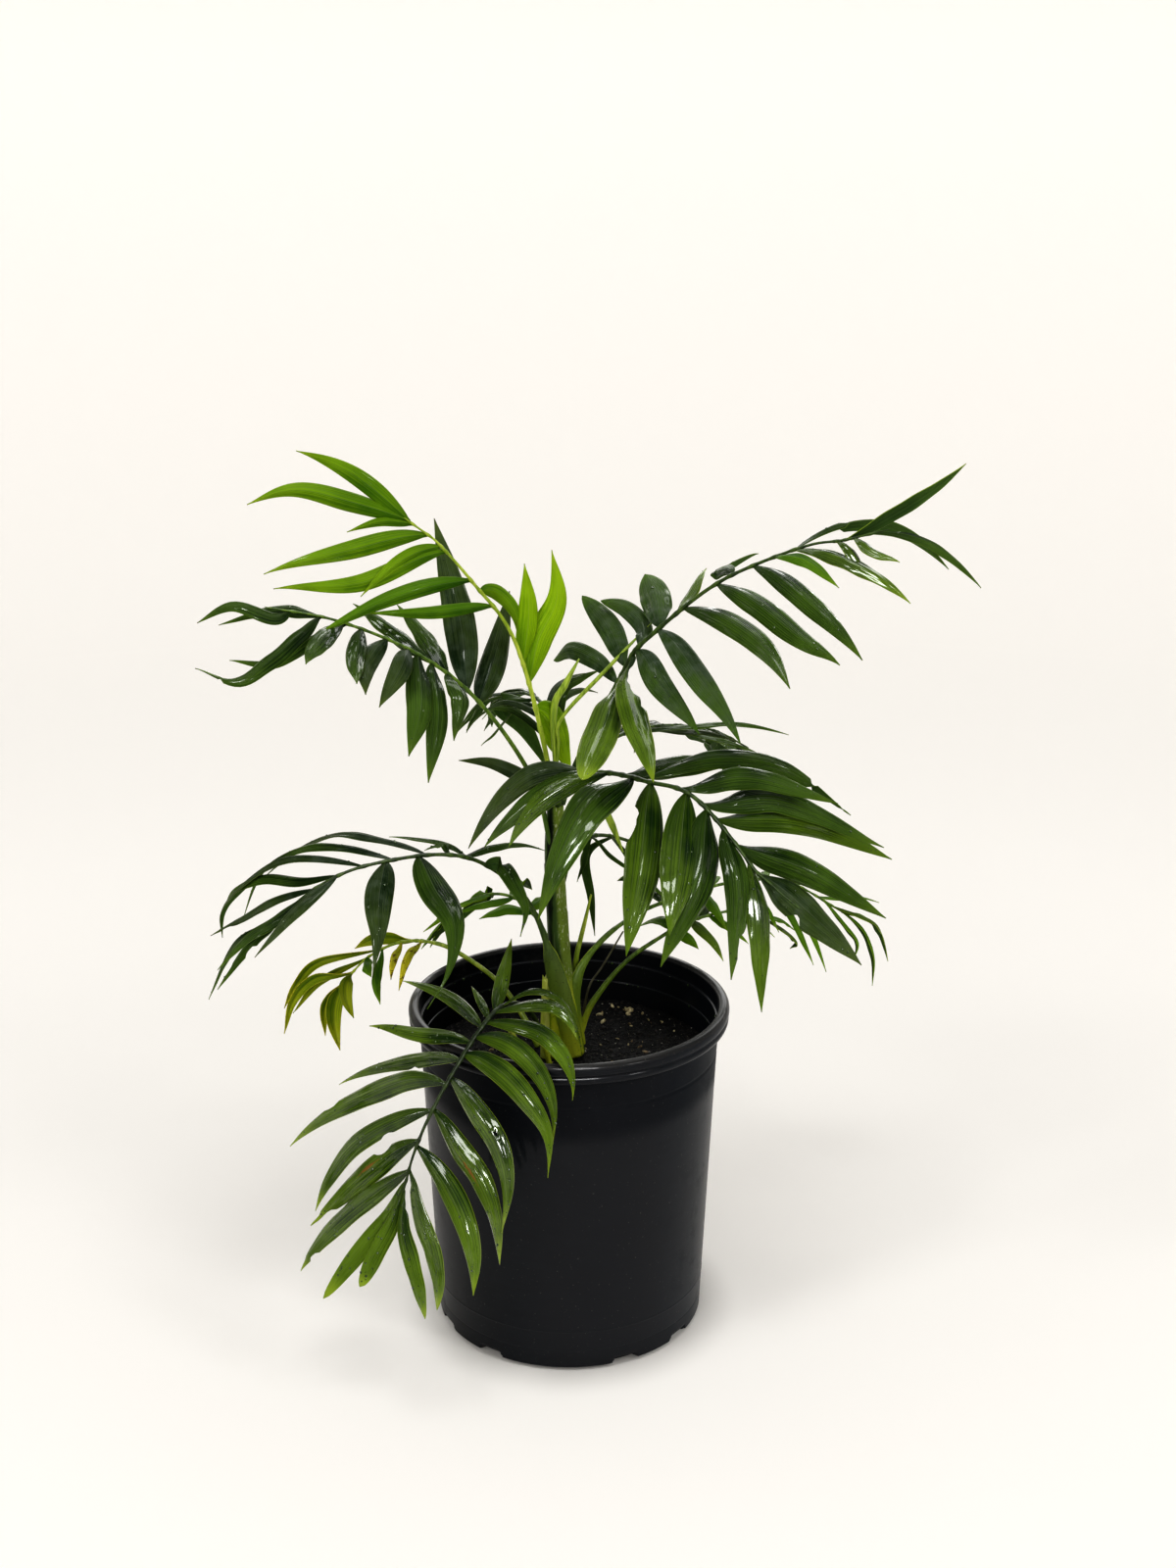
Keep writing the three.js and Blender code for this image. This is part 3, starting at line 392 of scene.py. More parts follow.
        right=dict(count=5, at=[.66, .8, .86, .94, .99], length=[55, 66, 76, 74, 48], width=9,
            spread=[46, 33, 20, 17, 12], lift=[8, 12, 14, 17, 7], droop=[27, 14, 0, -12, 30], turn=35,
            facing=.6,
            own=dict(width={0: 9, 1: 7, 2: 6, 3: 8}, facing={0: .8}),
            shown={0: [(386, 956), (362, 968)], 1: [(327, 982), (303, 1005), (290, 1029)],
                2: [(326, 1003), (299, 1034)], 3: [(322, 999), (300, 1022), (290, 1055)],
                4: [(331, 1026), (332, 1057)]}),
        left=dict(count=6, at=[.64, .72, .8, .88, .96, .99], length=[44, 33, 45, 34, 42, 51],
            width=[8, 8, 9, 10, 11, 13], spread=[76, 80, 86, 80, 50, 5], lift=[0, 0, -8, -10, -10, 0],
            droop=[38, 37, 46, 49, 60, 70], turn=-35, facing=.6,
            own=dict(width={3: 10, 4: 10, 5: 12}, facing={4: .9, 5: .9}),
            pick=dict(leaf_fresh=[4], leaf_yellow=[0, 5]),
            shown={0: [(415, 977), (407, 1011)], 1: [(402, 978), (399, 1000)],
                2: [(383, 1000), (388, 1025)], 3: [(373, 984), (379, 997)], 4: [(354, 1014), (361, 1039)],
                5: [(342, 1033), (347, 1072)]}),
    ),
    "front_left": dict(
        tone="mid", stalk=True, slim=.8, drops=420, rib="rib_black", deal=dict(leaf_green=4, leaf_wet=3),
        route=[[-14, -24, 203.3], [-22, -30, 236], [-33, -43, 257], [-47, -68, 265], [-62, -90, 250],
            [-77, -110, 228], [-97, -130, 190], [-110, -141, 158]],
        shown={.4: (506, 1032), .5: (486, 1056), .6: (468, 1085), .7: (450, 1116), .8: (433, 1150),
            .9: (420, 1184), 1: (411, 1218)},
        right=dict(count=11, at=[.4, .47, .59, .75, .93, .99], length=[55, 70, 130, 115, 114, 71],
            width=[12, 12, 15, 17, 18, 15], spread=[140, 110, 94, 57, 45, 11], lift=[15, 18, 12, 25, 9, 8],
            droop=[0, 24, 52, 52, 29, 10], facing=.3,
            own=dict(length={0: 65, 1: 34, 2: 75, 4: 112, 5: 146, 9: 100},
                width={0: 13 * .8, 1: 7 * .8, 5: 15, 7: 16, 9: 12, 10: 11}, spread={5: 84, 6: 64, 7: 60},
                lift={4: 1, 5: 19}, droop={4: 42, 5: 58, 6: 60, 7: 50}, fullness={9: .6, 10: .5}),
            pick=dict(leaf_scarred=[7], leaf_wet=[2, 6, 8]), bites={4: [(-1, .42, .02, .2)],
                5: [(1, .72, .02, .3)], 6: [(-1, .3, .03, .25)],
                7: [(1, .28, .05, .5), (-1, .86, .05, .6), (1, .93, .03, .6)],
                8: [(-1, .8, .04, .5), (1, .9, .04, .6)]},
            shown={0: [(512, 996), (522, 958)], 2: [(458, 1017), (411, 1001)],
                3: [(428, 1051), (377, 1047)], 4: [(411, 1083), (346, 1107)], 5: [(378, 1121), (296, 1170)],
                6: [(400, 1144), (360, 1168), (334, 1204), (322, 1236)],
                7: [(385, 1184), (350, 1214), (317, 1251)],
                8: [(381, 1214), (346, 1242), (320, 1273), (307, 1297)],
                9: [(398, 1243), (366, 1281), (330, 1325)], 10: [(400, 1250), (381, 1284), (367, 1313)]}),
        left=dict(count=10, at=[.37, .44, .54, .68, .88, .99], length=[64, 93, 104, 112, 96, 77],
            width=[12, 15, 18, 20, 20, 15], spread=[110, 109, 100, 79, 64, 36], lift=[50, 33, 19, 5, 0, 0],
            droop=[105, 100, 98, 80, 42, 25], facing=.3,
            own=dict(width={0: 8, 1: 11, 2: 13, 3: 14, 4: 15.5, 5: 15, 6: 15.5, 8: 13, 9: 12},
                spread={4: 104}, lift={4: 26, 5: 20}, droop={4: 115, 5: 100},
                fullness={2: 1.5, 3: 1.5, 4: 1.5, 5: 1.3, 8: .8, 9: .8}), pick=dict(leaf_scarred=[6]),
            bites={8: [(1, .06, .05, .6)], 9: [(-1, .08, .06, .6)]}, hole=(5, .42, .3),
            shown={0: [(542, 1010), (572, 1018), (588, 1044), (594, 1078)],
                1: [(547, 1024), (574, 1034), (589, 1062)],
                2: [(545, 1050), (571, 1072), (583, 1098), (584, 1123)],
                3: [(517, 1065), (547, 1094), (563, 1130), (564, 1168)],
                4: [(505, 1091), (536, 1124), (557, 1160), (559, 1202)],
                5: [(483, 1134), (505, 1172), (515, 1213), (512, 1258)],
                6: [(464, 1170), (487, 1206), (503, 1246), (510, 1291)],
                7: [(449, 1206), (468, 1246), (480, 1286), (483, 1322)],
                8: [(426, 1240), (437, 1275), (444, 1308), (446, 1337)],
                9: [(410, 1255), (418, 1290), (426, 1320), (434, 1346)]}),
    ),
}


# ------------------------------------------------------------ numbers on paths
def unit(v):
    """Vectors brought to length one: v / |v|."""
    return v / np.maximum(np.linalg.norm(v, axis=-1, keepdims=True), 1e-9)


def circle(count):
    """Even angles round a full turn."""
    return np.linspace(0, 2 * np.pi, count, endpoint=False)


def turned(v, axis, degrees):
    """v turned about the unit axis k by a: v cos a + (k x v) sin a + k (k.v)(1 - cos a)."""
    a = np.radians(np.asarray(degrees, float))[..., None]
    along = np.sum(axis * v, axis=-1, keepdims=True)
    return v * np.cos(a) + np.cross(axis, v) * np.sin(a) + axis * along * (1 - np.cos(a))


def even_curve(points, count=801):
    """A smooth curve through the points, at even steps of its length.

    Between p1 and p2 it is the cubic that has the slopes (p2 - p0)/2 and
    (p3 - p1)/2 at its ends. The row of points is carried on straight at both ends.
    """
    p = np.asarray(points, float)
    p = np.vstack([2 * p[0] - p[1], p, 2 * p[-1] - p[-2]])
    t = np.linspace(0, 1, 60, endpoint=False)[:, None, None]
    a, b, slope_a, slope_b = p[1:-2], p[2:-1], (p[2:-1] - p[:-3]) / 2, (p[3:] - p[1:-2]) / 2
    cubic = (a * (2 * t**3 - 3 * t**2 + 1) + slope_a * (t**3 - 2 * t**2 + t)
             + b * (3 * t**2 - 2 * t**3) + slope_b * (t**3 - t**2))
    dense = np.vstack([cubic.transpose(1, 0, 2).reshape(-1, 3), p[-2]])
    run = np.r_[0, np.cumsum(np.linalg.norm(np.diff(dense, axis=0), axis=1))]
    steps = np.linspace(0, run[-1], count)
    return np.stack([np.interp(steps, run, dense[:, k]) for k in range(3)], axis=1)


def read(curve, fraction):
    """The curve's points at fractions of its length."""
    f = np.clip(fraction, 0, 1) * (len(curve) - 1)
    return np.stack([np.interp(f, np.arange(len(curve)), curve[:, k]) for k in range(3)], axis=-1)


def knots(values, count):
    """Even knots read at count even places, straight between them; a single value holds for all."""
    v = np.atleast_1d(np.asarray(values, float))
    if len(v) == 1:
        return np.full(count, v[0])
    return np.interp(np.linspace(0, 1, count), np.linspace(0, 1, len(v)), v)


def smooth(x, low, high):
    """0 below low, 1 above high and 3x^2 - 2x^3 between them."""
    t = np.clip((x - low) / (high - low), 0, 1)
    return t * t * (3 - 2 * t)


def lumps(x, y, size, rng, waves=24):
    """Unevenness of height about one: a sum of sine waves of random heading, length near size and phase."""
    heading, phase = rng.uniform(0, 2 * np.pi, (2, waves))
    turns = 2 * np.pi / (size * rng.uniform(0.7, 1.4, waves))
    wave = np.sin(x[..., None] * np.cos(heading) * turns + y[..., None] * np.sin(heading) * turns + phase)
    return wave.sum(axis=-1) / math.sqrt(waves / 2)


# ------------------------------------------------------------------- surfaces
def round_grid(r, z, a):
    """Points (r cos a, r sin a, z), one row for each r and z and one column for each angle."""
    return np.stack(np.broadcast_arrays(r * np.cos(a), r * np.sin(a), z), axis=-1)


def ring_faces(n, m):
    """Faces between n rings of m points each."""
    row, k = np.arange(n - 1)[:, None] * m, np.arange(m)
    following = row + (k + 1) % m
    return np.stack([row + k, following, following + m, row + k + m], axis=-1).reshape(-1, 4)


def fan(pole, m):
    """Faces from one point to the first m points, taken as a ring."""
    k = np.arange(m)
    return np.stack([np.full(m, pole), k, (k + 1) % m], axis=1)


def closed(rings, first, last):
    """Rings of points joined into a skin and closed on a pole at each end: points and faces."""
    n, m = rings.shape[:2]
    points = np.vstack([rings.reshape(-1, 3), first, last])
    top = (n - 1) * m
    caps = np.vstack([fan(n * m, m)[:, [0, 2, 1]], fan(n * m + 1, m) + [0, top, top]])
    return points, outward(points, [ring_faces(n, m), caps])


def outward(points, faces):
    """The faces, turned round where the volume that they hold, the sum of a.(b x c)/6, is negative."""
    volume = 0.0
    for f in faces:
        for k in range(1, f.shape[1] - 1):
            a, b, c = points[f[:, 0]], points[f[:, k]], points[f[:, k + 1]]
            volume += np.sum(a * np.cross(b, c))
    return faces if volume > 0 else [f[:, ::-1] for f in faces]


def tube_rings(curve, radius, around, side=(0, 1, 0)):
    """Rings about a curve: point(s, a) = curve(s) + r(s, a)(e1 cos a + e2 sin a).

    e1 is square to the curve and to the direction side, and e2 to both.
    """
    tangent = unit(np.gradient(curve, axis=0))
    e1 = unit(np.cross(tangent, side))
    e2 = np.cross(tangent, e1)
    a = circle(around)[None, :, None]
    r = radius[..., None] if radius.ndim == 2 else radius[:, None, None]
    return curve[:, None] + r * (e1[:, None] * np.cos(a) + e2[:, None] * np.sin(a))


def tube(curve, radius, around, side=(0, 1, 0)):
    """A closed round rod along a curve, its radius a value for each step or for each step and angle."""
    return closed(tube_rings(curve, radius, around, side), curve[0], curve[-1])


def joined(parts):
    """Several (points, faces) as one: points stacked, face numbers moved on."""
    points, faces, start = [], {}, 0
    for p, fs in parts:
        for f in fs:
            faces.setdefault(f.shape[1], []).append(f + start)
        points.append(p)
        start += len(p)
    return np.vstack(points), [np.vstack(faces[k]) for k in sorted(faces)]


def scattered(shape, faces, centres, frames, sizes):
    """Copies of a small shape: centre + size * (shape in the frame's three directions)."""
    copies = centres[:, None] + np.einsum("nvk,nkd->nvd", shape * sizes[:, None, None], frames)
    count, verts = len(centres), shape.shape[-2]
    moved = [(f[None] + verts * np.arange(count)[:, None, None]).reshape(-1, f.shape[1]) for f in faces]
    return copies.reshape(-1, 3), moved


def placed(name, data):
    """An object of the scene that shows the data."""
    obj = bpy.data.objects.new(name, data)
    bpy.context.scene.collection.objects.link(obj)
    return obj


def meshed(name, points, faces, finishes, which=None, uv=None, soft=True):
    """A mesh object from points in millimetres; which gives its faces their finish."""
    mesh = bpy.data.meshes.new(name)
    loops = np.concatenate([f.ravel() for f in faces]).astype(np.int32)
    sizes = np.concatenate([np.full(len(f), f.shape[1]) for f in faces])
    mesh.vertices.add(len(points))
    mesh.vertices.foreach_set("co", (points * MM).astype(np.float32).ravel())
    mesh.loops.add(len(loops))
    mesh.loops.foreach_set("vertex_index", loops)
    mesh.polygons.add(len(sizes))
    mesh.polygons.foreach_set("loop_start", np.r_[0, np.cumsum(sizes)[:-1]].astype(np.int32))
    mesh.polygons.foreach_set("use_smooth", np.full(len(sizes), soft))
    for skin in finishes:
        mesh.materials.append(skin)
    if which is not None:
        mesh.polygons.foreach_set("material_index", which.astype(np.int32))
    if uv is not None:
        layer = mesh.uv_layers.new(name="blade")
        layer.data.foreach_set("uv", uv[loops].astype(np.float32).ravel())
    mesh.update(calc_edges=True)
    mesh.validate()
    return placed(name, mesh)


def piece(name, points, faces, finishes, replaces=(), slot=None, **more):
    """A mesh object that rides on the part's body."""
    obj = meshed(name, points, faces, finishes, **more)
    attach(obj, "root")
    if replaces:
        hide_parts(*replaces)
    return obj


# ------------------------------------------------------------------- finishes
class Value:
    """A socket of a finish that takes part in arithmetic; each operation adds a Math node."""

    def __init__(self, finish, socket):
        self.finish, self.socket = finish, socket

    def math(self, operation, *values):
        return self.finish.node("Math", {"operation": operation}, dict(enumerate(values)))

    def __add__(self, other):
        return self.math("ADD", self, other)

    def __sub__(self, other):
        return self.math("SUBTRACT", self, other)

    def __rsub__(self, other):
        return self.math("SUBTRACT", other, self)

    def __mul__(self, other):
        return self.math("MULTIPLY", self, other)

    def __abs__(self):
        return self.math("ABSOLUTE", self)

    def wave(self):
        return self.math("COSINE", self)

    __radd__, __rmul__ = __add__, __mul__


def opaque(colour):
    """A plain colour with its fourth number; a Value is left as it is."""
    return colour if isinstance(colour, Value) else (*colour[:3], 1.0)


class Finish:
    """A material whose nodes are added one call at a time."""

    def __init__(self, name):
        self.material = bpy.data.materials.new(name)
        self.material.use_nodes = True
        self.tree = self.material.node_tree
        self.tree.nodes.clear()

    def node(self, kind, settings=None, inputs=None, output=0):
        """Any shader node: its settings first, then the values or links of its sockets."""
        made = self.tree.nodes.new("ShaderNode" + kind)
        for key, value in (settings or {}).items():
            setattr(made, key, value)
        for key, value in (inputs or {}).items():
            if isinstance(value, Value):
                self.tree.links.new(value.socket, made.inputs[key])
            else:
                made.inputs[key].default_value = value
        return Value(self, made.outputs[output])

    def place(self):
        """The piece's own coordinates, in metres."""
        return self.node("TexCoord", output="Object")

    def parts(self, vector):
        """The three numbers of a vector."""
        split = self.node("SeparateXYZ", inputs={0: vector}).socket.node
        return [Value(self, output) for output in split.outputs]

    def from_axis(self):
        """How far the place is from the upright axis through the middle."""
        flat = self.node("VectorMath", {"operation": "MULTIPLY"}, {0: self.place(), 1: (1.0, 1.0, 0.0)})
        return self.node("VectorMath", {"operation": "LENGTH"}, {0: flat}, output="Value")

    def noise(self, vector, scale, detail=2.0, rough=0.5):
        inputs = {"Vector": vector, "Scale": scale, "Detail": detail, "Roughness": rough}
        return self.node("TexNoise", inputs=inputs)

    def patterned(self, x, y, z, detail, rough=0.5):
        """Noise over three numbers, each stretched by its own measure."""
        return self.noise(self.node("CombineXYZ", inputs={0: x, 1: y, 2: z}), 1.0, detail, rough)

    def streaks(self, across, upright, detail):
        """Noise with its own scale across and upright."""
        scale = (across, across, upright)
        return self.noise(self.node("Mapping", inputs={"Vector": self.place(), "Scale": scale}), 1.0, detail)

    def spots(self, vector, scale):
        """Distance to the nearest of many scattered points."""
        return self.node("TexVoronoi", inputs={"Vector": vector, "Scale": scale, "Randomness": 1.0})

    def ease(self, value, low, high, start=0.0, end=1.0):
        """start below low, end above high, smooth between them."""
        return self.node("MapRange", {"interpolation_type": "SMOOTHSTEP"},
                         {"Value": value, "From Min": low, "From Max": high, "To Min": start, "To Max": end})

    def fall(self, value, low, high):
        """1 below low, 0 above high, smooth between them."""
        return self.ease(value, low, high, 1.0, 0.0)

    def mix(self, share, a, b):
        """Colour a turning into colour b as share goes from 0 to 1."""
        inputs = {0: share, 6: opaque(a), 7: opaque(b)}
        return self.node("Mix", {"data_type": "RGBA", "clamp_factor": True}, inputs, output=2)

    def surface(self, colour, roughness, height=None, depth=0.0003, strength=0.5, **fixed):
        """The shader: what varies goes in as a Value, and fixed names plain sockets."""
        inputs = {"Base Color": opaque(colour), "Roughness": roughness}
        if height is not None:
            bump = {"Strength": strength, "Distance": depth, "Height": height}
            inputs["Normal"] = self.node("Bump", inputs=bump)
        for key, value in fixed.items():
            inputs[key.replace("_", " ").title().replace("Ior", "IOR")] = value
        shader = self.node("BsdfPrincipled", inputs=inputs)
        end = self.tree.nodes.new("ShaderNodeOutputMaterial")
        self.tree.links.new(shader.socket, end.inputs["Surface"])
        return self.material


def scaled(colour, share, plus=0.0):
    """A colour times a share, plus a little grey."""
    return tuple(share * c + plus for c in colour)


def leaf_finish(f, dark, bright, tip, bloom=0.0, wet=0.0, spots=0.0, scar=0.0, gloss=0.26):
    """A leaflet's skin: streaks and fine veins along it, a pale midrib, a thin edge, a lighter tip, and a
    painted highlight that lightens one half of the blade.

    bloom is grey towards the foot, partly dust and partly painted sheen, wet the share under a film
    of water, spots brown flecks, and scar one long brown mark beside the midrib.
    """
    veins = 24 * math.pi
    dust_and_sheen_grey, fleck_brown = (0.115, 0.15, 0.105), (0.13, 0.06, 0.01)
    scar_brown, edge_brown = (0.26, 0.12, 0.03), (0.16, 0.1, 0.03)
    across, along, _ = f.parts(f.node("UVMap", {"uv_map": "blade"}))
    here = f.place()
    height = f.parts(here)[2]
    side = abs(across - 0.5)
    patches = f.noise(here, 34.0, 2.0)
    streaks = f.patterned(across * 30.0, along * 1.2, height * 9.0, 3.0)
    ridges = (across * veins).wave()
    share = f.ease(patches * 0.7 + streaks * 0.9 + along * 0.45 + ridges * 0.03, 0.74, 1.3)
    colour = f.mix(share, dark, bright)
    # Painted highlight: one half of the blade, across the fold, is lightened towards the bright colour.
    colour = f.mix(f.ease(across, 0.47, 0.53) * 0.3, colour, bright)
    colour = f.mix(f.ease(along + streaks * 0.1, 0.86, 1.04) * 0.75, colour, tip)
    middle = 1.0 - f.ease(side, 0.004, 0.022)
    pale = scaled(bright, 0.5, 0.09)
    colour = f.mix(middle * (1.0 - along * 0.75) * 0.55, colour, pale)
    second = 1.0 - f.ease(abs(side - 0.19), 0.003, 0.012)
    fine = f.ease((across * (veins * 1.5) + streaks * 2.0).wave(), 0.8, 1.0)
    colour = f.mix(second * 0.22 + fine * 0.14, colour, pale)
    colour = f.mix(f.ease(side, 0.455, 0.488) * 0.6, colour, scaled(tip, 0.8, 0.02))
    # Grey towards the foot: partly real dust, partly a painted sheen.
    if bloom:
        dust = f.ease(f.noise(here, 120.0, 3.0), 0.35, 0.75) * (1.0 - along * 0.8) * bloom
        colour = f.mix(dust, colour, dust_and_sheen_grey)
    if spots:
        flecks = f.ease(f.noise(here, 260.0, 3.0, 0.7) * spots, 0.5, 0.56)
        colour = f.mix(flecks * 0.85, colour, fleck_brown)
    if scar:
        offset = abs(across - 0.66) * 6.0 + abs(along - scar) * 5.0 + f.noise(here, 420.0, 3.0) * 0.9
        colour = f.mix((1.0 - f.ease(offset, 0.78, 1.12)) * 0.9, colour, scar_brown)
    colour = f.mix(f.ease(along + f.noise(here, 40.0) * 0.05, 1.02, 1.035), colour, edge_brown)
    pools = f.patterned(across * 8.0, along * 6.0, height * 30.0, 4.0, 0.65)
    pools = pools * 0.6 + f.noise(here, 24.0, 1.0) * 0.5
    film = f.ease(pools, 0.64 - wet * 0.2, 0.7 - wet * 0.2) * min(1.0, 0.4 + wet)
    beads = f.fall(f.spots(here, 420.0), 0.16, 0.3) * film
    roughness = gloss + streaks * 0.16 + f.noise(here, 500.0) * 0.08 - film * 0.2
    veined = ridges * 0.25 + streaks * 0.5 - middle * 0.8 + beads * 1.6
    return f.surface(colour, roughness, veined, 0.00045, 0.7, specular_ior_level=0.06,
                     coat_weight=film, coat_roughness=0.08)


def rib_finish(f, dark, bright, foot=None):
    """A rachis or stalk: long streaks, darker specks, a waxy shine and a yellow-green foot near the soil."""
    here = f.place()
    height = f.parts(here)[2]
    streaks = f.streaks(260.0, 26.0, 3.0)
    fine = f.noise(here, 420.0, 2.0)
    colour = f.mix(f.ease(streaks, 0.35, 0.68), dark, bright)
    if foot:
        near = f.fall(f.from_axis(), 0.03, 0.05)
        colour = f.mix(f.fall(height + streaks * 0.012, 0.24, 0.31) * near * 0.8, colour, foot)
        colour = f.mix(f.fall(height + streaks * 0.01, 0.215, 0.245) * near, colour, (0.66, 0.74, 0.06))
    colour = f.mix(f.ease(f.noise(here, 900.0, 2.0), 0.64, 0.7) * 0.6, colour, scaled(dark, 0.3))
    return f.surface(colour, 0.34 + fine * 0.2, fine + streaks * 0.5, 0.0002, 0.5, specular_ior_level=0.3)


def stone_finish(f, dark, bright, roughness=0.8):
    """A crumb, chip or perlite grain, mottled."""
    here = f.place()
    tone = f.ease(f.noise(here, 380.0, 3.0), 0.35, 0.65)
    return f.surface(f.mix(tone, dark, bright), roughness, f.noise(here, 1500.0, 3.0), 0.0003, 0.7)


def stem_finish(f):
    """Sheathed stem: dark green with pale stripes, painted light that lightens its right side, pale specks
    there, and a yellow foot browned at the soil.
    """
    here = f.place()
    x, _, height = f.parts(here)
    fibres, bands = f.streaks(420.0, 9.0, 3.0), f.streaks(190.0, 5.0, 1.0)
    patches = f.noise(here, 60.0, 3.0)
    colour = f.mix(f.ease(patches * 0.5 + bands, 0.66, 0.95), (0.004, 0.011, 0.0025), (0.055, 0.1, 0.022))
    colour = f.mix(f.ease(fibres, 0.56, 0.66) * 0.55, colour, (0.22, 0.27, 0.13))
    # Painted light: the right side is lightened to yellow-green, and the pale specks below show only on that
    # side.
    side = f.ease(x + f.ease(height, 0.22, 0.36) * 0.007 + patches * 0.002, -0.0035, 0.0)
    colour = f.mix(side * 0.72, colour, (0.24, 0.33, 0.05))
    specks = f.ease(f.streaks(900.0, 300.0, 1.0), 0.6, 0.66)
    colour = f.mix(specks * side * 0.7, colour, (0.5, 0.52, 0.36))
    foot = f.fall(height + patches * 0.03, 0.25, 0.288)
    colour = f.mix(foot, colour, (0.6, 0.72, 0.045))
    colour = f.mix(foot * f.ease(patches, 0.45, 0.65) * 0.7, colour, (0.85, 0.82, 0.1))
    colour = f.mix(f.fall(height + patches * 0.012, 0.211, 0.218) * 0.75, colour, (0.1, 0.05, 0.015))
    colour = f.mix(f.ease(f.noise(here, 700.0, 2.0), 0.66, 0.72) * 0.7, colour, (0.09, 0.05, 0.02))
    return f.surface(colour, 0.36 + fibres * 0.22, fibres + patches, 0.0003, 0.6, specular_ior_level=0.14)


def spear_finish(f):
    """Folded new leaf: yellow-green with pale folds along it."""
    folds = f.streaks(500.0, 30.0, 2.0)
    colour = f.mix(f.ease(folds, 0.35, 0.65), (0.2, 0.3, 0.02), (0.4, 0.52, 0.06))
    return f.surface(colour, 0.4 + folds * 0.1, folds, 0.0002, 0.6, specular_ior_level=0.4)


def cut_finish(f):
    """Cut stalk: yellow-green below, brown and dry at its top."""
    height = f.parts(f.place())[2]
    fibres = f.streaks(300.0, 20.0, 3.0)
    colour = f.mix(f.ease(fibres, 0.3, 0.7), (0.5, 0.58, 0.06), (0.8, 0.84, 0.24))
    colour = f.mix(f.ease(height + fibres * 0.008, 0.27, 0.276), colour, (0.22, 0.14, 0.06))
    return f.surface(colour, 0.5 + fibres * 0.15, fibres, 0.0003, 0.7, specular_ior_level=0.35)


def water_finish(f):
    """Drops of water: they take the colour of the leaf under them and glint."""
    tone = f.ease(f.noise(f.place(), 30.0), 0.35, 0.65)
    return f.surface(f.mix(tone, (0.03, 0.06, 0.015), (0.1, 0.15, 0.06)), 0.04, specular_ior_level=0.6)


# The finishes by the function that makes them: colours in its order, and what else it takes.
FINISHES = {
    leaf_finish: {
        "leaf_deep": [(0.004, 0.019, 0.001), (0.08, 0.145, 0.018), (0.15, 0.24, 0.025), dict(wet=0.3)],
        "leaf_deep_worn": [
            (0.007, 0.025, 0.003), (0.08, 0.12, 0.032), (0.13, 0.18, 0.04), dict(bloom=0.5, wet=0.2)],
        # Its grey towards the foot is partly dust and partly a painted sheen.
        "leaf_bloom": [
            (0.022, 0.052, 0.01), (0.085, 0.145, 0.03), (0.11, 0.22, 0.015), dict(bloom=0.8, gloss=0.36)],
        "leaf_green": [(0.006, 0.028, 0.001), (0.15, 0.24, 0.02), (0.38, 0.5, 0.05), dict(wet=0.4)],
        "leaf_rich": [(0.006, 0.028, 0.001), (0.115, 0.19, 0.016), (0.17, 0.28, 0.022), dict(wet=0.45)],
        "leaf_wet": [(0.005, 0.024, 0.001), (0.13, 0.21, 0.02), (0.4, 0.52, 0.06), dict(wet=0.8, gloss=0.22)],
        "leaf_scarred": [
            (0.006, 0.027, 0.001), (0.14, 0.22, 0.02), (0.4, 0.52, 0.06),
            dict(wet=0.6, scar=0.42, gloss=0.22)],
        "leaf_fresh": [(0.035, 0.11, 0.003), (0.15, 0.29, 0.01), (0.3, 0.44, 0.03), dict(wet=0.1)],
        "leaf_spring": [(0.055, 0.145, 0.002), (0.22, 0.37, 0.01), (0.38, 0.52, 0.03), dict(gloss=0.34)],
        "leaf_young": [(0.14, 0.27, 0.002), (0.34, 0.52, 0.012), (0.4, 0.55, 0.03), dict(gloss=0.36)],
        "leaf_yellow": [(0.42, 0.44, 0.015), (0.9, 0.82, 0.06), (0.6, 0.52, 0.04), dict(spots=0.9, wet=0.2)],
        "leaf_turning": [
            (0.07, 0.16, 0.005), (0.4, 0.45, 0.02), (0.5, 0.52, 0.03), dict(spots=0.72, wet=0.2)],
        "leaf_under": [(0.035, 0.075, 0.015), (0.08, 0.15, 0.03), (0.12, 0.2, 0.03), dict(gloss=0.5)],
        "leaf_under_young": [(0.15, 0.26, 0.012), (0.27, 0.42, 0.03), (0.3, 0.42, 0.04), dict(gloss=0.5)],
    },
    rib_finish: {
        "rib_dark": [(0.022, 0.045, 0.006), (0.075, 0.13, 0.018), (0.25, 0.36, 0.045), {}],
        "rib_black": [(0.014, 0.026, 0.006), (0.045, 0.075, 0.016), (0.12, 0.18, 0.02), {}],
        "rib_green": [(0.06, 0.12, 0.01), (0.17, 0.27, 0.03), (0.26, 0.38, 0.045), {}],
        "rib_pale": [(0.24, 0.34, 0.02), (0.46, 0.55, 0.07), {}],
        "rib_dry": [(0.07, 0.065, 0.03), (0.16, 0.15, 0.08), {}],
    },
    stone_finish: {
        "crumb": [(0.004, 0.003, 0.0025), (0.03, 0.022, 0.014), dict(roughness=0.7)],
        "bark": [(0.12, 0.08, 0.04), (0.42, 0.31, 0.17), {}],
        "perlite_grain": [(0.4, 0.38, 0.33), (0.75, 0.72, 0.66), {}],
        "dry_bark": [(0.4, 0.32, 0.17), (0.85, 0.74, 0.46), {}],
    },
    stem_finish: {"stem_skin": [{}]},
    spear_finish: {"spear_skin": [{}]},
    cut_finish: {"cut_stalk": [{}]},
    water_finish: {"water": [{}]},
}
_made = {}


def finish(name):
    """The finish of that name, made when it is first asked for; an unknown name is an error."""
    if name not in _made:
        make = next(make for make, table in FINISHES.items() if name in table)
        *colours, more = FINISHES[make][name]
        _made[name] = make(Finish(name), *colours, **more)
    return _made[name]


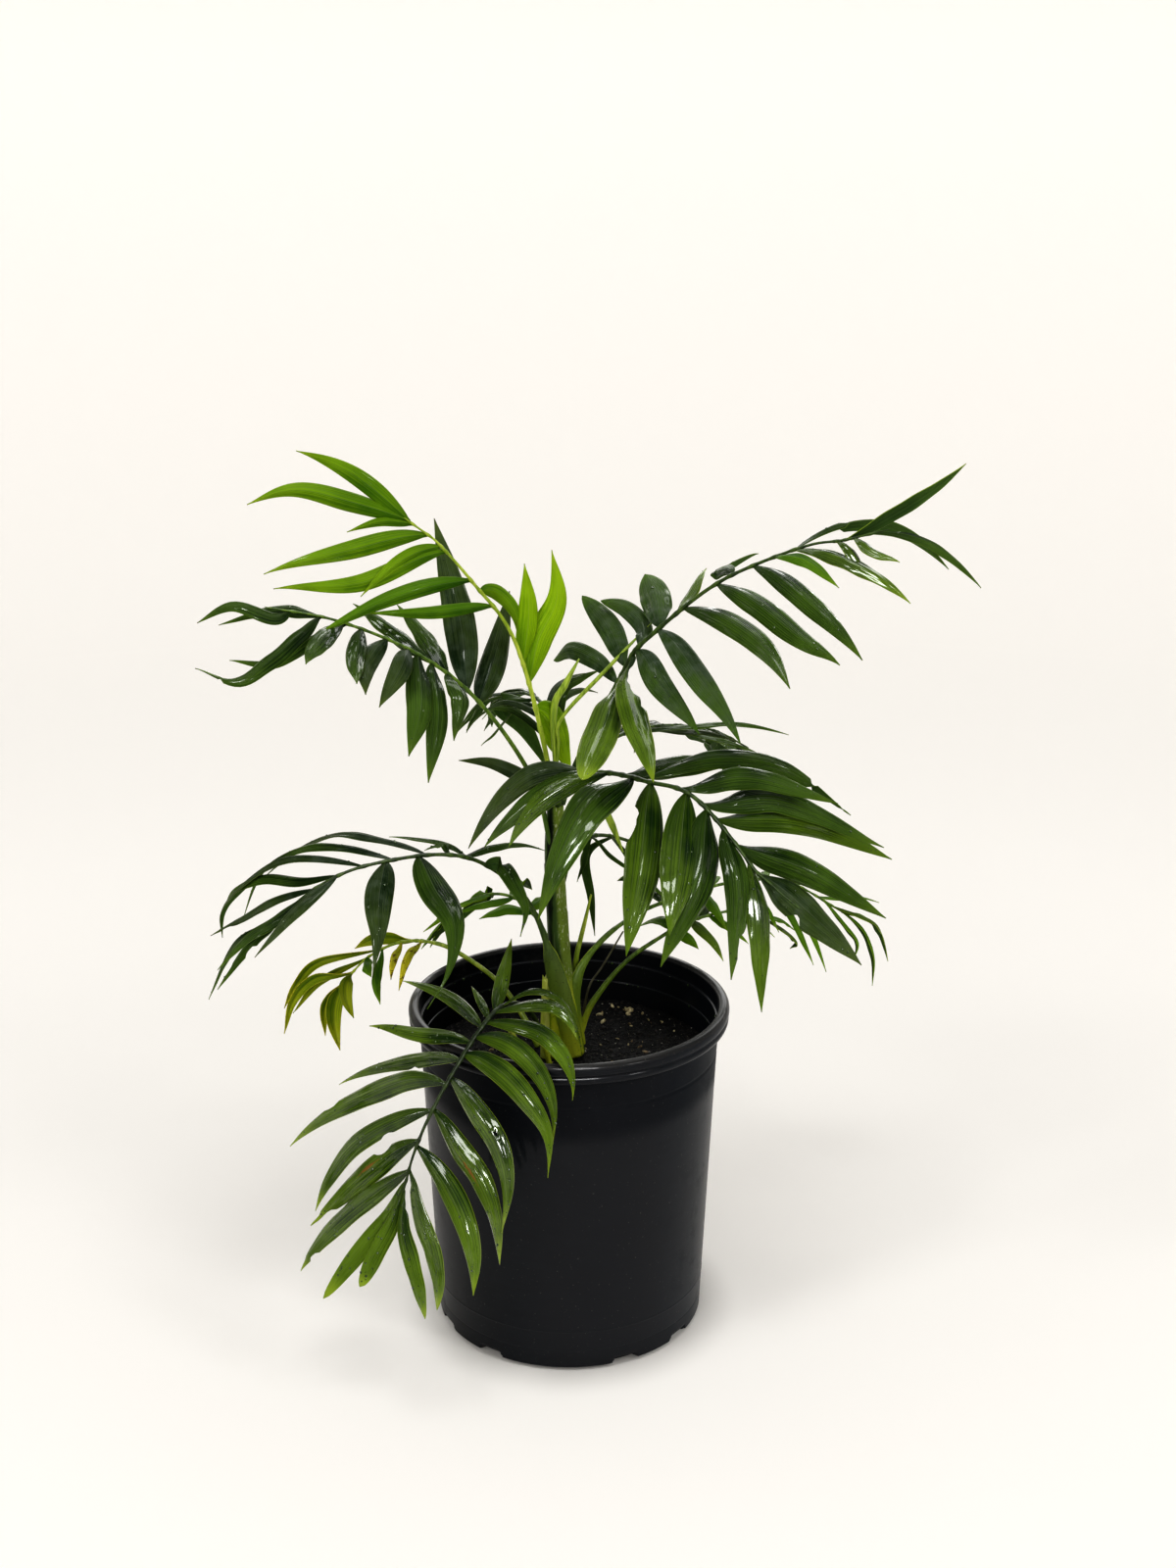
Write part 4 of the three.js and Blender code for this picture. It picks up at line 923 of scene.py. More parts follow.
def pot_finish(settings):
    """Satin black plastic: drag marks round it, dust on the upper edge, a rim polished by handling, painted
    shade on its left side and a painted sheen in an upright band near the middle.
    """
    f = Finish("pot_plastic")
    here = f.place()
    x, _, height = f.parts(here)
    clouds, grain = f.noise(here, 14.0, 4.0), f.noise(here, 900.0, 2.0)
    drags = f.streaks(30.0, 240.0, 2.0)
    rim, lip = f.ease(height, 0.2275, 0.2305), f.ease(height, 0.2395, 0.2425)
    scuffs = f.ease(f.noise(here, 42.0, 5.0, 0.65), 0.5, 0.75)
    left = f.ease(x, -0.1, 0.02, 1.0, 0.25)
    black = settings.colour
    colour = f.mix(clouds * 0.6 + drags * 0.3, scaled(black, 0.6), scaled(black, 2.2))
    # Painted shade: the left side is darkened towards near-black.
    colour = f.mix(f.fall(x, -0.09, 0.02) * 0.6, colour, (0.0015, 0.0018, 0.0022))
    # Painted sheen: an upright band near the middle is lightened to bluish grey.
    middle = f.ease(x, -0.05, 0.0) * f.fall(x, 0.05, 0.09)
    colour = f.mix(middle * 0.75, colour, (0.0155, 0.0165, 0.02))
    colour = f.mix(rim * scuffs * left * settings.dust, colour, (0.085, 0.081, 0.073))
    colour = f.mix(lip * 0.35, colour, (0.1, 0.094, 0.086))
    specks = f.ease(f.noise(here, 620.0, 2.0), 0.7, 0.74)
    colour = f.mix(specks * (0.25 + lip * 0.5), colour, (0.16, 0.15, 0.13))
    inner = f.fall(f.from_axis(), 0.1051, 0.1058)
    roughness = settings.gloss + clouds * 0.12 + grain * 0.06 - rim * 0.14 + scuffs * 0.12
    bump = grain * 0.3 + drags * 0.25 + clouds * 0.8
    return f.surface(colour, roughness, bump, 0.0001, 0.5, specular_ior_level=0.08,
                     coat_weight=inner * 0.34 + rim * 0.22, coat_roughness=0.09)


def soil_finish(settings):
    """Damp potting mix: near-black crumbs with brown fibre and pale flecks of several sizes."""
    f = Finish("potting_mix")
    here = f.place()
    crumbs, patches = f.noise(here, 260.0, 5.0, 0.7), f.noise(here, 40.0, 3.0)
    colour = f.mix(f.ease(crumbs, 0.42, 0.68), settings.colour, scaled(settings.colour, 2.0))
    colour = f.mix(f.ease(patches * crumbs, 0.33, 0.43) * 0.3, colour, (0.04, 0.028, 0.016))
    flecks = f.ease(f.noise(here, 1100.0, 1.0), 0.68, 0.72)
    colour = f.mix(flecks * 0.5, colour, (0.3, 0.28, 0.22))
    grains = f.fall(f.spots(here, 330.0), 0.12, 0.2) * f.ease(f.noise(here, 90.0, 1.0), 0.5, 0.6)
    colour = f.mix(grains * 0.5, colour, (0.34, 0.29, 0.2))
    grit = f.noise(here, 600.0, 4.0, 0.8)
    return f.surface(colour, 0.5 + grit * 0.35, grit + crumbs * 1.5, 0.0014, 0.9, specular_ior_level=0.3)


def floor_finish(settings):
    """Pale seamless paper that glows a little, more so further out, where the lamps don't reach, and a
    painted contact shadow where the glow is taken away round the pot's foot.
    """
    f = Finish("studio_paper")
    near, far = scaled(settings.colour, settings.floor_glow), scaled(settings.colour, settings.backdrop_glow)
    distance, height = f.from_axis(), f.parts(f.place())[2]
    glow = f.mix(f.ease(distance, 0.2, 1.2), near, far)
    # Painted contact shadow: no glow close round the pot's foot.
    glow = f.mix(f.fall(distance, 0.084, 0.13) * 0.8, glow, (0.0, 0.0, 0.0))
    glow = f.mix(f.ease(height, 0.9, 1.9), glow, scaled(far, 0.8))
    return f.surface(settings.colour, 0.9, specular_ior_level=0.0, emission_color=glow, emission_strength=1.0)


# --------------------------------------------------------------------- leaves
def row_values(spec, row):
    """The values of each leaflet in a row, one array for each kind of value."""
    count, more = row["count"], row.get("more", [])
    kinds = ("at", "length", "width", "spread", "lift", "droop", "turn")
    values = {key: np.r_[knots(row.get(key, 0), count), np.zeros(len(more))] for key in kinds}
    values["width"] *= spec.get("slim", 1)
    for k, lean in row.get("lean", {}).items():
        values["lift"][k] += lean
    values["fullness"] = np.full(count + len(more), spec.get("fullness", BLADE["tip_fullness"]))
    values["facing"] = np.full(count + len(more), row.get("facing", 0.0))
    for key, own in row.get("own", {}).items():
        values[key][list(own)] = list(own.values())
    for k, leaflet in enumerate(more, count):
        for key, value in leaflet.items():
            values[key][k] = value
    return values


def eye_axes():
    """The directions of the picture: ahead, to its right, and up in it."""
    tilt, turn = EYE["tilt"], EYE["turn"]
    ahead = np.array([math.sin(turn) * math.cos(tilt), math.cos(turn) * math.cos(tilt), -math.sin(tilt)])
    right = np.array([math.cos(turn), -math.sin(turn), 0.0])
    return ahead, right, np.cross(right, ahead)


def step_to(points, pixels):
    """How far points move, square to the way ahead, to be seen at the pixels.

    At a depth z ahead of the eye, a pixel stands for z / focal millimetres.
    """
    ahead, right, up = eye_axes()
    off = points - EYE["place"]
    depth = off @ ahead
    wanted = (np.asarray(pixels, float) - EYE["middle"]) / EYE["focal"] * depth[:, None]
    return (wanted[:, :1] - (off @ right)[:, None]) * right - (wanted[:, 1:] + (off @ up)[:, None]) * up


def shown_curve(spec, rows):
    """The curve of a rod, read at even rows; its last points are moved to where the eye sees them."""
    route = np.array(spec["route"], float)
    if "shown" in spec:
        last = len(spec["shown"])
        route[-last:] += step_to(route[-last:], spec["shown"])
    return read(even_curve(route), np.linspace(0, 1, rows))


def seen_at(pixels, height):
    """The points of a level plane that are seen at the pixels: eye + d (height - eye z) / d z."""
    ahead, right, up = eye_axes()
    x, y = ((np.asarray(pixels, float) - EYE["middle"]) / EYE["focal"]).T
    d = ahead + x[:, None] * right - y[:, None] * up
    return np.array(EYE["place"]) + d * ((height - EYE["place"][2]) / d[:, 2])[:, None]


def frond_curve(spec):
    """A rachis: its route, moved to where it is shown; the moves are eased and end before its foot."""
    curve = even_curve(spec["route"])
    shown = spec.get("shown")
    if not shown:
        return curve
    share = np.array(list(shown))
    moves = step_to(read(curve, share), list(shown.values()))
    if share[0] > 0:
        share, moves = np.r_[0, share[0] - 0.12, share], np.vstack([np.zeros((2, 3)), moves])
    s, reach = np.linspace(0, 1, len(curve)), 24
    bell = np.exp(-np.linspace(-2, 2, 2 * reach + 1) ** 2)
    for axis in range(3):
        eased = np.interp(s, share, moves[:, axis])
        padded = np.r_[np.full(reach, eased[0]), eased, 2 * eased[-1] - eased[-2:-reach - 2:-1]]
        curve[:, axis] += np.convolve(padded, bell / bell.sum(), mode="valid")
    return curve


def square_to(v, ahead):
    """The part of v that is square to the unit vectors ahead, brought to length one."""
    return unit(v - ahead * np.sum(ahead * v, axis=-1, keepdims=True))


def fitted(shown, line, w, facing):
    """Leaflets of a row moved to where they are shown: line and the directions across and square to it.

    The moves are found at even parts of each line, 0 at its foot, and eased
    between them. The blade is squared up to its new line, and then turned about
    it towards the eye by its share of facing, over its first third.
    """
    t = np.linspace(0, 1, line.shape[1])
    for k, pixels in shown.items():
        places = read(line[k], np.linspace(0, 1, len(pixels) + 1)[1:])
        line[k] += through(step_to(places, pixels), t)
    ahead = unit(np.gradient(line, axis=1))
    n = np.cross(square_to(w, ahead), ahead)
    to_eye = square_to(unit(EYE["place"] - line), ahead)
    to_eye *= np.where(np.sum(to_eye * n, axis=-1, keepdims=True) < 0, -1, 1)
    share = facing[:, None, None] * smooth(t, 0, 0.33)[None, :, None]
    n = unit(n * (1 - share) + to_eye * share)
    return line, np.cross(ahead, n), n


def through(moves, t):
    """Moves at even parts of 0 to 1, none at 0, read at t: the cubic of even_curve between each two."""
    last = 2 * moves[-1] - (moves[-2] if len(moves) > 1 else 0 * moves[-1])
    knot = np.vstack([np.zeros((2, moves.shape[1])), moves, last])
    place = t * (len(knot) - 3) + 1
    i = np.minimum(place.astype(int), len(knot) - 3)
    f = (place - i)[:, None]
    p0, p1, p2, p3 = knot[i - 1], knot[i], knot[i + 1], knot[i + 2]
    square, cube = p0 - 2.5 * p1 + 2 * p2 - p3 / 2, 1.5 * (p1 - p2) + (p3 - p0) / 2
    return p1 + f / 2 * (p2 - p0) + f**2 * square + f**3 * cube


def leaflet_lines(curve, roll, values, side, steps):
    """Centre lines of a row of leaflets, with the direction across each blade.

    On the rachis, T points to its tip, N upwards and B to the right. A leaflet
    starts along T cos(spread) + (B cos(lift) + N sin(lift)) sin(spread). At each
    step it turns towards the ground by droop/steps times droop_gain times the
    sine of its angle to the vertical, and goes on by length/steps.
    """
    at = values["at"]
    point = read(curve, at)
    T = unit(read(curve, at + 0.01) - read(curve, at - 0.01))
    heading = unit((curve[-1] - curve[0]) * [1, 1, 0])
    N = turned(unit(np.cross([heading[1], -heading[0], 0], T)), T, np.full(len(at), roll))
    B = np.cross(T, N)
    lift, spread = np.radians(values["lift"])[:, None], np.radians(values["spread"])[:, None]
    across = B * side * np.cos(lift) + N * np.sin(lift)
    d = unit(T * np.cos(spread) + across * np.sin(spread))
    w = unit(np.cross(d, N))
    flip = np.where(np.sum(np.cross(w, d) * N, axis=1, keepdims=True) < 0, -1.0, 1.0)
    w = turned(w * flip, d, side * values["turn"])
    line, widths = [point], [w]
    droop = values["droop"] / steps
    for _ in range(steps):
        axis = np.cross(d, -UP)
        sine = np.linalg.norm(axis, axis=1)
        axis = unit(axis)
        down = np.where(droop < 0, droop, droop * sine * BLADE["droop_gain"])
        bend = np.where(sine > 1e-6, down, 0.0)
        d, w = turned(d, axis, bend), turned(w, axis, bend)
        point = point + d * (values["length"] / steps)[:, None]
        line.append(point)
        widths.append(w)
    return np.stack(line, axis=1), np.stack(widths, axis=1)


def blade_half(t, width, fullness):
    """Half width of a lance: width/2 (t/p)^a ((1-t)/(1-p))^b, never under a thin root and tip."""
    p, a, b = BLADE["peak"], BLADE["base_fullness"], fullness[:, None]
    shape = (t / p) ** a * ((1 - t) / (1 - p)) ** b
    thin = BLADE["root"] * (1 - t) + BLADE["tip"] * t
    return np.maximum(width[:, None] / 2 * shape, thin * (1 - 0.4 * t))


def leaflet_surfaces(line, w, n, values, bites, rng, settings):
    """The blades of a row: u runs across from -1 to 1 and t along from 0 to 1.

    point = line(t) + w u h(t) + n z(u, t), where h is the half width and
    z = -h (fold sqrt(u^2 + e) + cup u^2) + pleats sin(3 pi |u|) + ripple |u|^3 sin(waves),
    a shallow roof with soft pleats and a rippled edge. The line itself swings by
    sway sin(pi t) to one side and by swell sin(2 pi t) up and down.
    """
    count, rows = line.shape[:2]
    t, u = np.linspace(0, 1, rows), np.array(BLADE["across"], float)
    hump = np.sin(np.pi * t)
    pick = lambda low, high: rng.uniform(low, high, count)[:, None]
    half = blade_half(t, values["width"], values["fullness"])
    length = values["length"][:, None]
    sway = pick(*BLADE["sway"]) * length * hump
    swell = pick(*BLADE["swell"]) * length * np.sin(2 * np.pi * t)
    twist = np.degrees(np.arctan(pick(*BLADE["twist"]) * t))
    ahead = unit(np.gradient(line, axis=1))
    w, n = turned(w, ahead, twist), turned(n, ahead, twist)
    centre = line + w * sway[..., None] + n * swell[..., None]
    keep = np.ones((count, rows, 2))
    for k, cuts in bites.items():
        for side, middle, size, depth in cuts:
            ragged = 1 + 0.15 * np.sin(t * 190) + 0.1 * np.sin(t * 83 + k)
            keep[k, :, max(side, 0)] -= depth * np.exp(-((t - middle) / size) ** 6) * ragged
    keep = np.clip(keep, 0.05, 1)
    reach = u * np.where(u < 0, keep[..., :1], keep[..., 1:])
    fold, cup = pick(*BLADE["fold"])[..., None], pick(*BLADE["cup"])[..., None]
    phase, cycles = pick(0, 6.28)[..., None], pick(*BLADE["waves"])[..., None]
    h = half[..., None]
    ripple = settings.ripple * pick(*BLADE["ripple"])[..., None] * h
    wave = np.sin(2 * np.pi * cycles * t[:, None] + phase + np.where(u < 0, 0.0, 1.7)) * hump[:, None]
    pleats = BLADE["pleat"] * np.sin(3 * np.pi * np.abs(reach)) * hump[:, None]
    z = -h * (fold * np.sqrt(reach**2 + 0.004) + cup * reach**2) + pleats + ripple * np.abs(reach) ** 3 * wave
    points = centre[:, :, None] + w[:, :, None] * (reach * h)[..., None] + n[:, :, None] * z[..., None]
    return points, np.stack(np.broadcast_arrays((reach + 1) / 2, t[:, None]), axis=-1), n


def sheet_faces(count, rows, cols):
    """Faces of count separate grids of rows by cols points."""
    k, i, j = np.meshgrid(np.arange(count), np.arange(rows - 1), np.arange(cols - 1), indexing="ij")
    a = k * rows * cols + i * cols + j
    return np.stack([a, a + 1, a + cols + 1, a + cols], axis=-1).reshape(-1, 4)


def rachis(spec, curve):
    """A frond's rib: a rod, thick at its foot, with a small swelling where each leaflet springs.

    A foot that is a sheath is oval: r(s, a) = 1 / sqrt((cos a / w)^2 + (sin a / d)^2),
    and a margin runs up each of its sides, as a thin rod. Returns points, faces
    and which faces are the margins'.
    """
    rows, around = 220, 18
    s, a = np.linspace(0, 1, rows), circle(around)
    radius, depth, sheath = knots(RACHIS["radii"], rows), np.ones(rows), spec.get("sheath")
    if sheath:
        share, half = np.array(list(sheath["half"])), np.array(list(sheath["half"].values()))
        radius = np.where(s < share[-1], np.interp(s, share, half), np.minimum(radius, half[-1]))
        depth = 1 - (1 - sheath["depth"]) * smooth(-s, -share[-1], -0.7 * share[-1])
    starts = np.concatenate([row_values(spec, spec[side])["at"] for side in ("right", "left")])
    near = np.exp(-(((s[:, None] - starts) / RACHIS["swelling_length"]) ** 2)).max(axis=1)
    radius = radius + RACHIS["swelling"] * near
    radius[-6:] *= np.linspace(1, 0.3, 6)
    line = read(curve, s)
    oval = 1 / np.sqrt(np.cos(a) ** 2 + (np.sin(a) / depth[:, None]) ** 2)
    ring = radius[:, None] * oval * (1 - 0.06 * np.cos(2 * a) - 0.04 * np.cos(3 * a))
    heading = unit((curve[-1] - curve[0]) * [1, 1, 0])
    side = np.array([-heading[1], heading[0], 0])
    parts = [tube(line, ring, around, side)]
    if sheath and sheath["margin"]:
        across = unit(np.cross(unit(np.gradient(line, axis=0)), side))
        run = int(rows * (share[-2] + 0.01))
        for way in (1, -1):
            edge = (line + way * across * radius[:, None] * RACHIS["margin_out"])[:run]
            parts.append(tube(edge, sheath["margin"] * np.linspace(1, 0.5, run), 8, side))
    points, faces = joined(parts)
    corners = [(k > 0, f.shape[1], len(f)) for k, (_, fs) in enumerate(parts) for f in fs]
    margins = [np.full(count, own) for size in (3, 4) for own, sides, count in corners if sides == size]
    return points, faces, np.concatenate(margins)


def make_frond(name, spec, settings, seed):
    """The leaflets of a frond as one piece of thin blades and its rib as another.

    Returns what its drops of water need: the blades, their normals, how many
    drops there are, and the random numbers.
    """
    rng = np.random.default_rng(seed)
    curve, tone = frond_curve(spec), TONES[spec["tone"]]
    rows = (spec["right"], 1), (spec["left"], -1)
    names = sorted({*spec["deal"], *(skin for row, _ in rows for skin in row.get("pick", {}))})
    deal = [skin for skin, share in sorted(spec["deal"].items()) for _ in range(share)]
    grids, uvs, normals, which, holes = [], [], [], [], []
    for row, side in rows:
        values = row_values(spec, row)
        line, w = leaflet_lines(curve, spec.get("roll", 0), values, side, settings.steps)
        line, w, n = fitted(row.get("shown", {}), line, w, values["facing"])
        points, uv, normal = leaflet_surfaces(line, w, n, values, row.get("bites", {}), rng, settings)
        if "hole" in row:
            holes.append((len(which) + row["hole"][0], *row["hole"][1:]))
        grids.append(points)
        uvs.append(uv)
        normals.append(normal)
        picked = {k: skin for skin, leaflets in row.get("pick", {}).items() for k in leaflets}
        for k in range(len(points)):
            dealt = deal[rng.integers(len(deal))]
            which.append(names.index(picked.get(k, dealt)))
    grid, uv, normal = (np.concatenate(a) for a in (grids, uvs, normals))
    count, rows, cols = grid.shape[:3]
    faces, each = sheet_faces(count, rows, cols), (rows - 1) * (cols - 1)
    skins = np.repeat(which, each)
    for k, t, u in holes:
        gone = k * each + int(t * (rows - 1)) * (cols - 1) + int(u * (cols - 1))
        faces, skins = np.delete(faces, gone, axis=0), np.delete(skins, gone)
    finishes = [finish(skin) for skin in [*names, spec.get("under", tone["under"])]]
    node = "frond_" + name
    blades = piece(name + "_leaflets", grid.reshape(-1, 3), [faces], finishes, [node], tone["slot"],
                   which=skins, uv=uv.reshape(-1, 2))
    shell = blades.modifiers.new("thickness", "SOLIDIFY")
    shell.thickness, shell.offset = settings.thickness, 0.0
    shell.material_offset = len(names)
    points, faces, margins = rachis(spec, curve)
    finishes = [finish(spec.get("rib", tone["rib"])), finish("rib_pale")]
    nodes = [node, node + "_stalk"] if "stalk" in spec else [node]
    piece(name + "_rib", points, faces, finishes, nodes, tone["slot"], which=margins.astype(int))
    return grid, normal, spec.get("drops", 0), rng


def drop_shape():
    """A dome of water on a flat base: rings of seven points that close in on the top."""
    r, z = np.array([(1.0, -0.1), (0.85, 0.35), (0.45, 0.62)]).T[..., None]
    return closed(round_grid(r, z, circle(7)), np.array([0, 0, -0.1]), np.array([0, 0, 0.7]))


def drop_sizes(kind, rng, count):
    """Sizes of drops: least + spread x^power for x even between 0 and 1."""
    least, spread, power = DROPS[kind]
    return least + spread * rng.uniform(0, 1, count) ** power


def drops_on(grid, normal, count, rng):
    """Places, frames and sizes of drops that lie on the upper side of the blades."""
    ends = (0, len(grid)), (2, grid.shape[1] - 3), (1, grid.shape[2] - 2)
    leaf, row, col = (rng.integers(low, high, count) for low, high in ends)
    f, g = rng.uniform(0, 1, (2, count, 1))
    a, b = grid[leaf, row, col], grid[leaf, row, col + 1]
    c, d = grid[leaf, row + 1, col], grid[leaf, row + 1, col + 1]
    place = (a * (1 - f) + b * f) * (1 - g) + (c * (1 - f) + d * f) * g
    up = unit(np.cross(b - a, c - a))
    up *= np.where(np.sum(up * normal[leaf, row], axis=1, keepdims=True) < 0, -1, 1)
    e1 = unit(b - a)
    frames = np.stack([e1, np.cross(up, e1), up], axis=1)
    return place + up * DROPS["sink"], frames, drop_sizes("leaf", rng, count)


def drops_inside(count):
    """Drops that hang along the two ledges inside the pot: places, frames that face inwards, sizes."""
    rng = np.random.default_rng(17)
    angle = rng.uniform(0, 2 * np.pi, count)
    upper = rng.uniform(size=count) < 0.5
    drop = np.where(upper, *(ledge + below for ledge, below in zip(POT["ledge_drops"], DROPS["below_ledge"])))
    radius = pot_wall(POT["height"] - drop) - POT["wall"] - np.where(upper, 0.1, 0.7)
    out = np.stack([np.cos(angle), np.sin(angle), 0 * angle], axis=1)
    frames = np.stack([np.cross(out, UP), np.broadcast_to(UP, out.shape), -out], axis=1)
    places = out * radius[:, None] + UP * (POT["height"] - drop)[:, None]
    return places, frames, drop_sizes("ledge", rng, count)


# ------------------------------------------------------------------ the pieces
def rounded(corners, steps=4):
    """An outline through corners (r, z, size), each rounded by the curve (1-t)^2 A + 2t(1-t) C + t^2 B."""
    c = np.asarray(corners, float)
    p, size = c[:, :2], c[:, 2]
    out = [p[:1]]
    for i in range(1, len(p) - 1):
        if size[i] == 0:
            out.append(p[i:i + 1])
            continue
        before, after = p[i - 1] - p[i], p[i + 1] - p[i]
        length_before, length_after = np.linalg.norm(before), np.linalg.norm(after)
        r = min(size[i], 0.49 * length_before, 0.49 * length_after)
        A, B = p[i] + before / length_before * r, p[i] + after / length_after * r
        t = np.linspace(0, 1, steps)[:, None]
        out.append((1 - t) ** 2 * A + 2 * t * (1 - t) * p[i] + t**2 * B)
    out.append(p[-1:])
    return np.vstack(out)


def pot_wall(z):
    """The outer radius of the pot's wall at a height: from the base's to the top's, straight between them."""
    share = z / (POT["height"] - POT["rim_height"])
    return POT["base_radius"] + (POT["top_radius"] - POT["base_radius"]) * share


def on_wall(z, out=0.0, size=0.0):
    """A corner of the outline on the pot's wall or so far out from it, rounded by size."""
    return pot_wall(z) + out, z, size


def pot_outline():
    """The pot's outline from the middle of its underside, up the outside and down the inside."""
    p = POT
    top, base, middle = p["height"], p["base_radius"] - p["base_round"], p["middle"]
    rim, lip = p["rim_radius"], p["lip_radius"]
    under, groove, bead = (top - p[key] for key in ("rim_height", "groove_drop", "bead_drop"))
    notch, (line, fold) = p["notch_height"], p["line_heights"]
    upper, lower = (top - drop for drop in p["ledge_drops"])
    foot = [(r, 0, 0) for r in (middle, *p["flat_rows"])] + [(base + 2, 0, 2.5), on_wall(3.2, 0, 2.5)]
    notches = [on_wall(z) for z in (4.4, 5.2, notch, notch + 0.8, 9)]
    lines = [on_wall(line - 0.6, 0, 0.5), on_wall(line, -0.25, 0.4), on_wall(line + 0.6, 0, 0.5),
             on_wall(fold - 0.8, 0, 0.5), on_wall(fold, 0.3, 0.4), on_wall(fold + 0.8, 0, 0.5)]
    wall = [on_wall(90), on_wall(150), on_wall(groove - 2, 0, 0.6), on_wall(groove, -p["groove_depth"], 0.5),
            on_wall(groove + 2, 0, 0.6), (pot_wall(under) + 0.2, under - 0.4, 1.0)]
    outside = [(rim - 1.4, under, 1.6), (rim - 0.4, under + 2.4, 1.4), (rim - 0.4, bead - 1.6, 1.0),
               (rim - 0.4 - p["bead"], bead, 0.7), (rim, bead + 1.8, 1.4), (rim + 0.1, top - 3.0, 2.2),
               (rim - 2.2, top - 0.1, 1.8), (lip + 1.6, top - 0.1, 1.4)]
    ledges = [(lip, top - 2.0, 1.4), (lip - 0.1, upper + 0.4, 0.5),
              (pot_wall(upper) - p["wall"], upper - 0.2, 0.5),
              (pot_wall(lower) - p["wall"] + 0.2, lower + 0.1, 0.4),
              (pot_wall(lower - 0.6) - p["wall"] - 0.8, lower - 0.5, 0.4)]
    inside = [on_wall(180, -p["wall"] - 0.5), on_wall(100, -p["wall"] - 0.5), on_wall(9, -p["wall"] - 0.5, 3),
              (base - p["wall"], p["floor"], 2.0), (middle, p["floor"], 0)]
    return rounded(foot + notches + lines + wall + outside + ledges + inside)


def make_pot(settings):
    """The pot: its outline turned about the upright axis, pressed in at the drainage notches.

    point = (r cos a, r sin a, z), where r is drawn in to base - notch depth
    inside each notch, which narrows upwards, and eased over a millimetre at its edges.
    """
    p, outline = POT, pot_outline()
    a = circle(p["around"])
    r, z = (np.broadcast_to(outline[:, k:k + 1], (len(outline), len(a))) for k in (0, 1))
    deep = p["base_radius"] - p["notch_depth"]
    cut = np.zeros(r.shape)
    for degrees in p["notch_angles"]:
        off = (a - np.radians(degrees - 90) + np.pi) % (2 * np.pi) - np.pi
        half = p["notch_width"] / 2 - p["notch_slant"] * np.clip(z / p["notch_height"], 0, 1)
        cut = np.maximum(cut, smooth(half - np.abs(off) * p["base_radius"], -0.7, 0.7))
    cut = cut * (z < p["notch_height"] + 0.1) * (np.arange(len(outline))[:, None] < len(outline) // 2)
    r = r - cut * np.maximum(r - deep, 0)
    wobble = 0.18 * np.sin(3 * a + 0.6) + 0.1 * np.sin(5 * a)
    r = r + wobble * smooth(z, 60, 230)
    points, faces = closed(round_grid(r, z, a), np.array([0, 0, 0.0]), np.array([0, 0, p["floor"]]))
    piece("pot_shell", points, faces, [pot_finish(settings)], ["pot"], "pot")


def make_soil(settings):
    """The potting mix: a field of lumps over its domed top, closed down the wall and under the bottom.

    height(r, a) = top - drop(r) + lumps of three sizes, never above the highest.
    """
    rng = np.random.default_rng(11)
    s, a = SOIL, circle(300)[None]
    wall = lambda z: pot_wall(z) - POT["wall"] - s["wall_gap"]
    rim = wall(s["top"])
    r = np.linspace(1.0, rim, 96)[:, None]
    x, y = r * np.cos(a), r * np.sin(a)
    drop = s["edge_drop"] * np.clip((r - s["flat_radius"]) / (rim - s["flat_radius"]), 0, 1) ** 1.5
    relief = sum(share * lumps(x, y, size, rng) for size, share in s["lumps"].items())
    level = np.minimum(s["top"] - drop + settings.relief / MM * relief, s["top"] + s["highest"])
    top = np.stack([x, y, level], axis=-1)
    low, bottom = 14, s["bottom"]
    skirt = np.array([
        [wall(198), 197], [wall(100), 100], [wall(low), low], [wall(low) - 10, bottom], [30, bottom]])
    rings = np.vstack([top, round_grid(skirt[:, :1], skirt[:, 1:], a)])
    points, faces = closed(rings, np.array([0, 0, level[0].mean()]), np.array([0, 0, bottom]))
    piece("soil_bed", points, faces, [soil_finish(settings)], ["soil"], "soil")
    return top


def pebble():
    """A ball of twelve points and twenty triangles: a pole at each end and two rings of five."""
    wide, high, fifth, tenth = 0.894, 0.447, 1.2566, 0.628
    k = np.arange(5)
    rings = round_grid(wide, np.array([[high], [-high]]), k * fifth + np.array([[0], [tenth]]))
    ball = np.vstack([UP, -UP, rings.reshape(-1, 3)])
    n = (k + 1) % 5
    zero, one = np.zeros(5, int), np.ones(5, int)
    sides = (zero, 2 + k, 2 + n), (one, 7 + n, 7 + k), (2 + k, 7 + k, 2 + n), (2 + n, 7 + k, 7 + n)
    return ball, outward(ball, [np.vstack([np.stack(f, 1) for f in sides])])


def make_grit(settings, top):
    """Crumbs, bark and perlite that lie on the potting mix, each a ball of twelve points, pulled about."""
    rng = np.random.default_rng(5)
    ball, faces = pebble()
    pale = np.array(SOIL["pale_bark"], float)
    for name, kind in GRIT.items():
        count = getattr(settings, kind["count"]) if "count" in kind else len(pale)
        row = (np.sqrt(rng.uniform(0.01, 0.97, count)) * (len(top) - 1)).astype(int)
        centres = top[row, rng.integers(top.shape[1], size=count)]
        sizes = kind["least"] + (kind["most"] - kind["least"]) * rng.uniform(0, 1, count) ** 2.5
        if name == "pale_bark":
            centres, sizes = seen_at(pale[:, :2], SOIL["top"] + 0.6), 0.95 * pale[:, 2]
            reach = np.hypot(centres[:, 0], centres[:, 1])
            centres[:, :2] *= np.minimum(1, SOIL["bark_reach"] / reach)[:, None]
        axis = unit(rng.normal(size=(count, 3)) * [1, 1, 2.5])
        spin = rng.uniform(0, 360, count)
        frames = np.stack([turned(np.broadcast_to(e, (count, 3)), axis, spin) for e in np.eye(3)], axis=1)
        shapes = ball * np.asarray(kind["flat"]) * rng.uniform(0.65, 1.25, (count, len(ball), 1))
        points, moved = scattered(shapes, faces, centres + [0, 0, 0.1], frames, sizes)
        piece("soil_" + name, points, moved, [finish(kind["finish"])], (), "soil", soft=False)


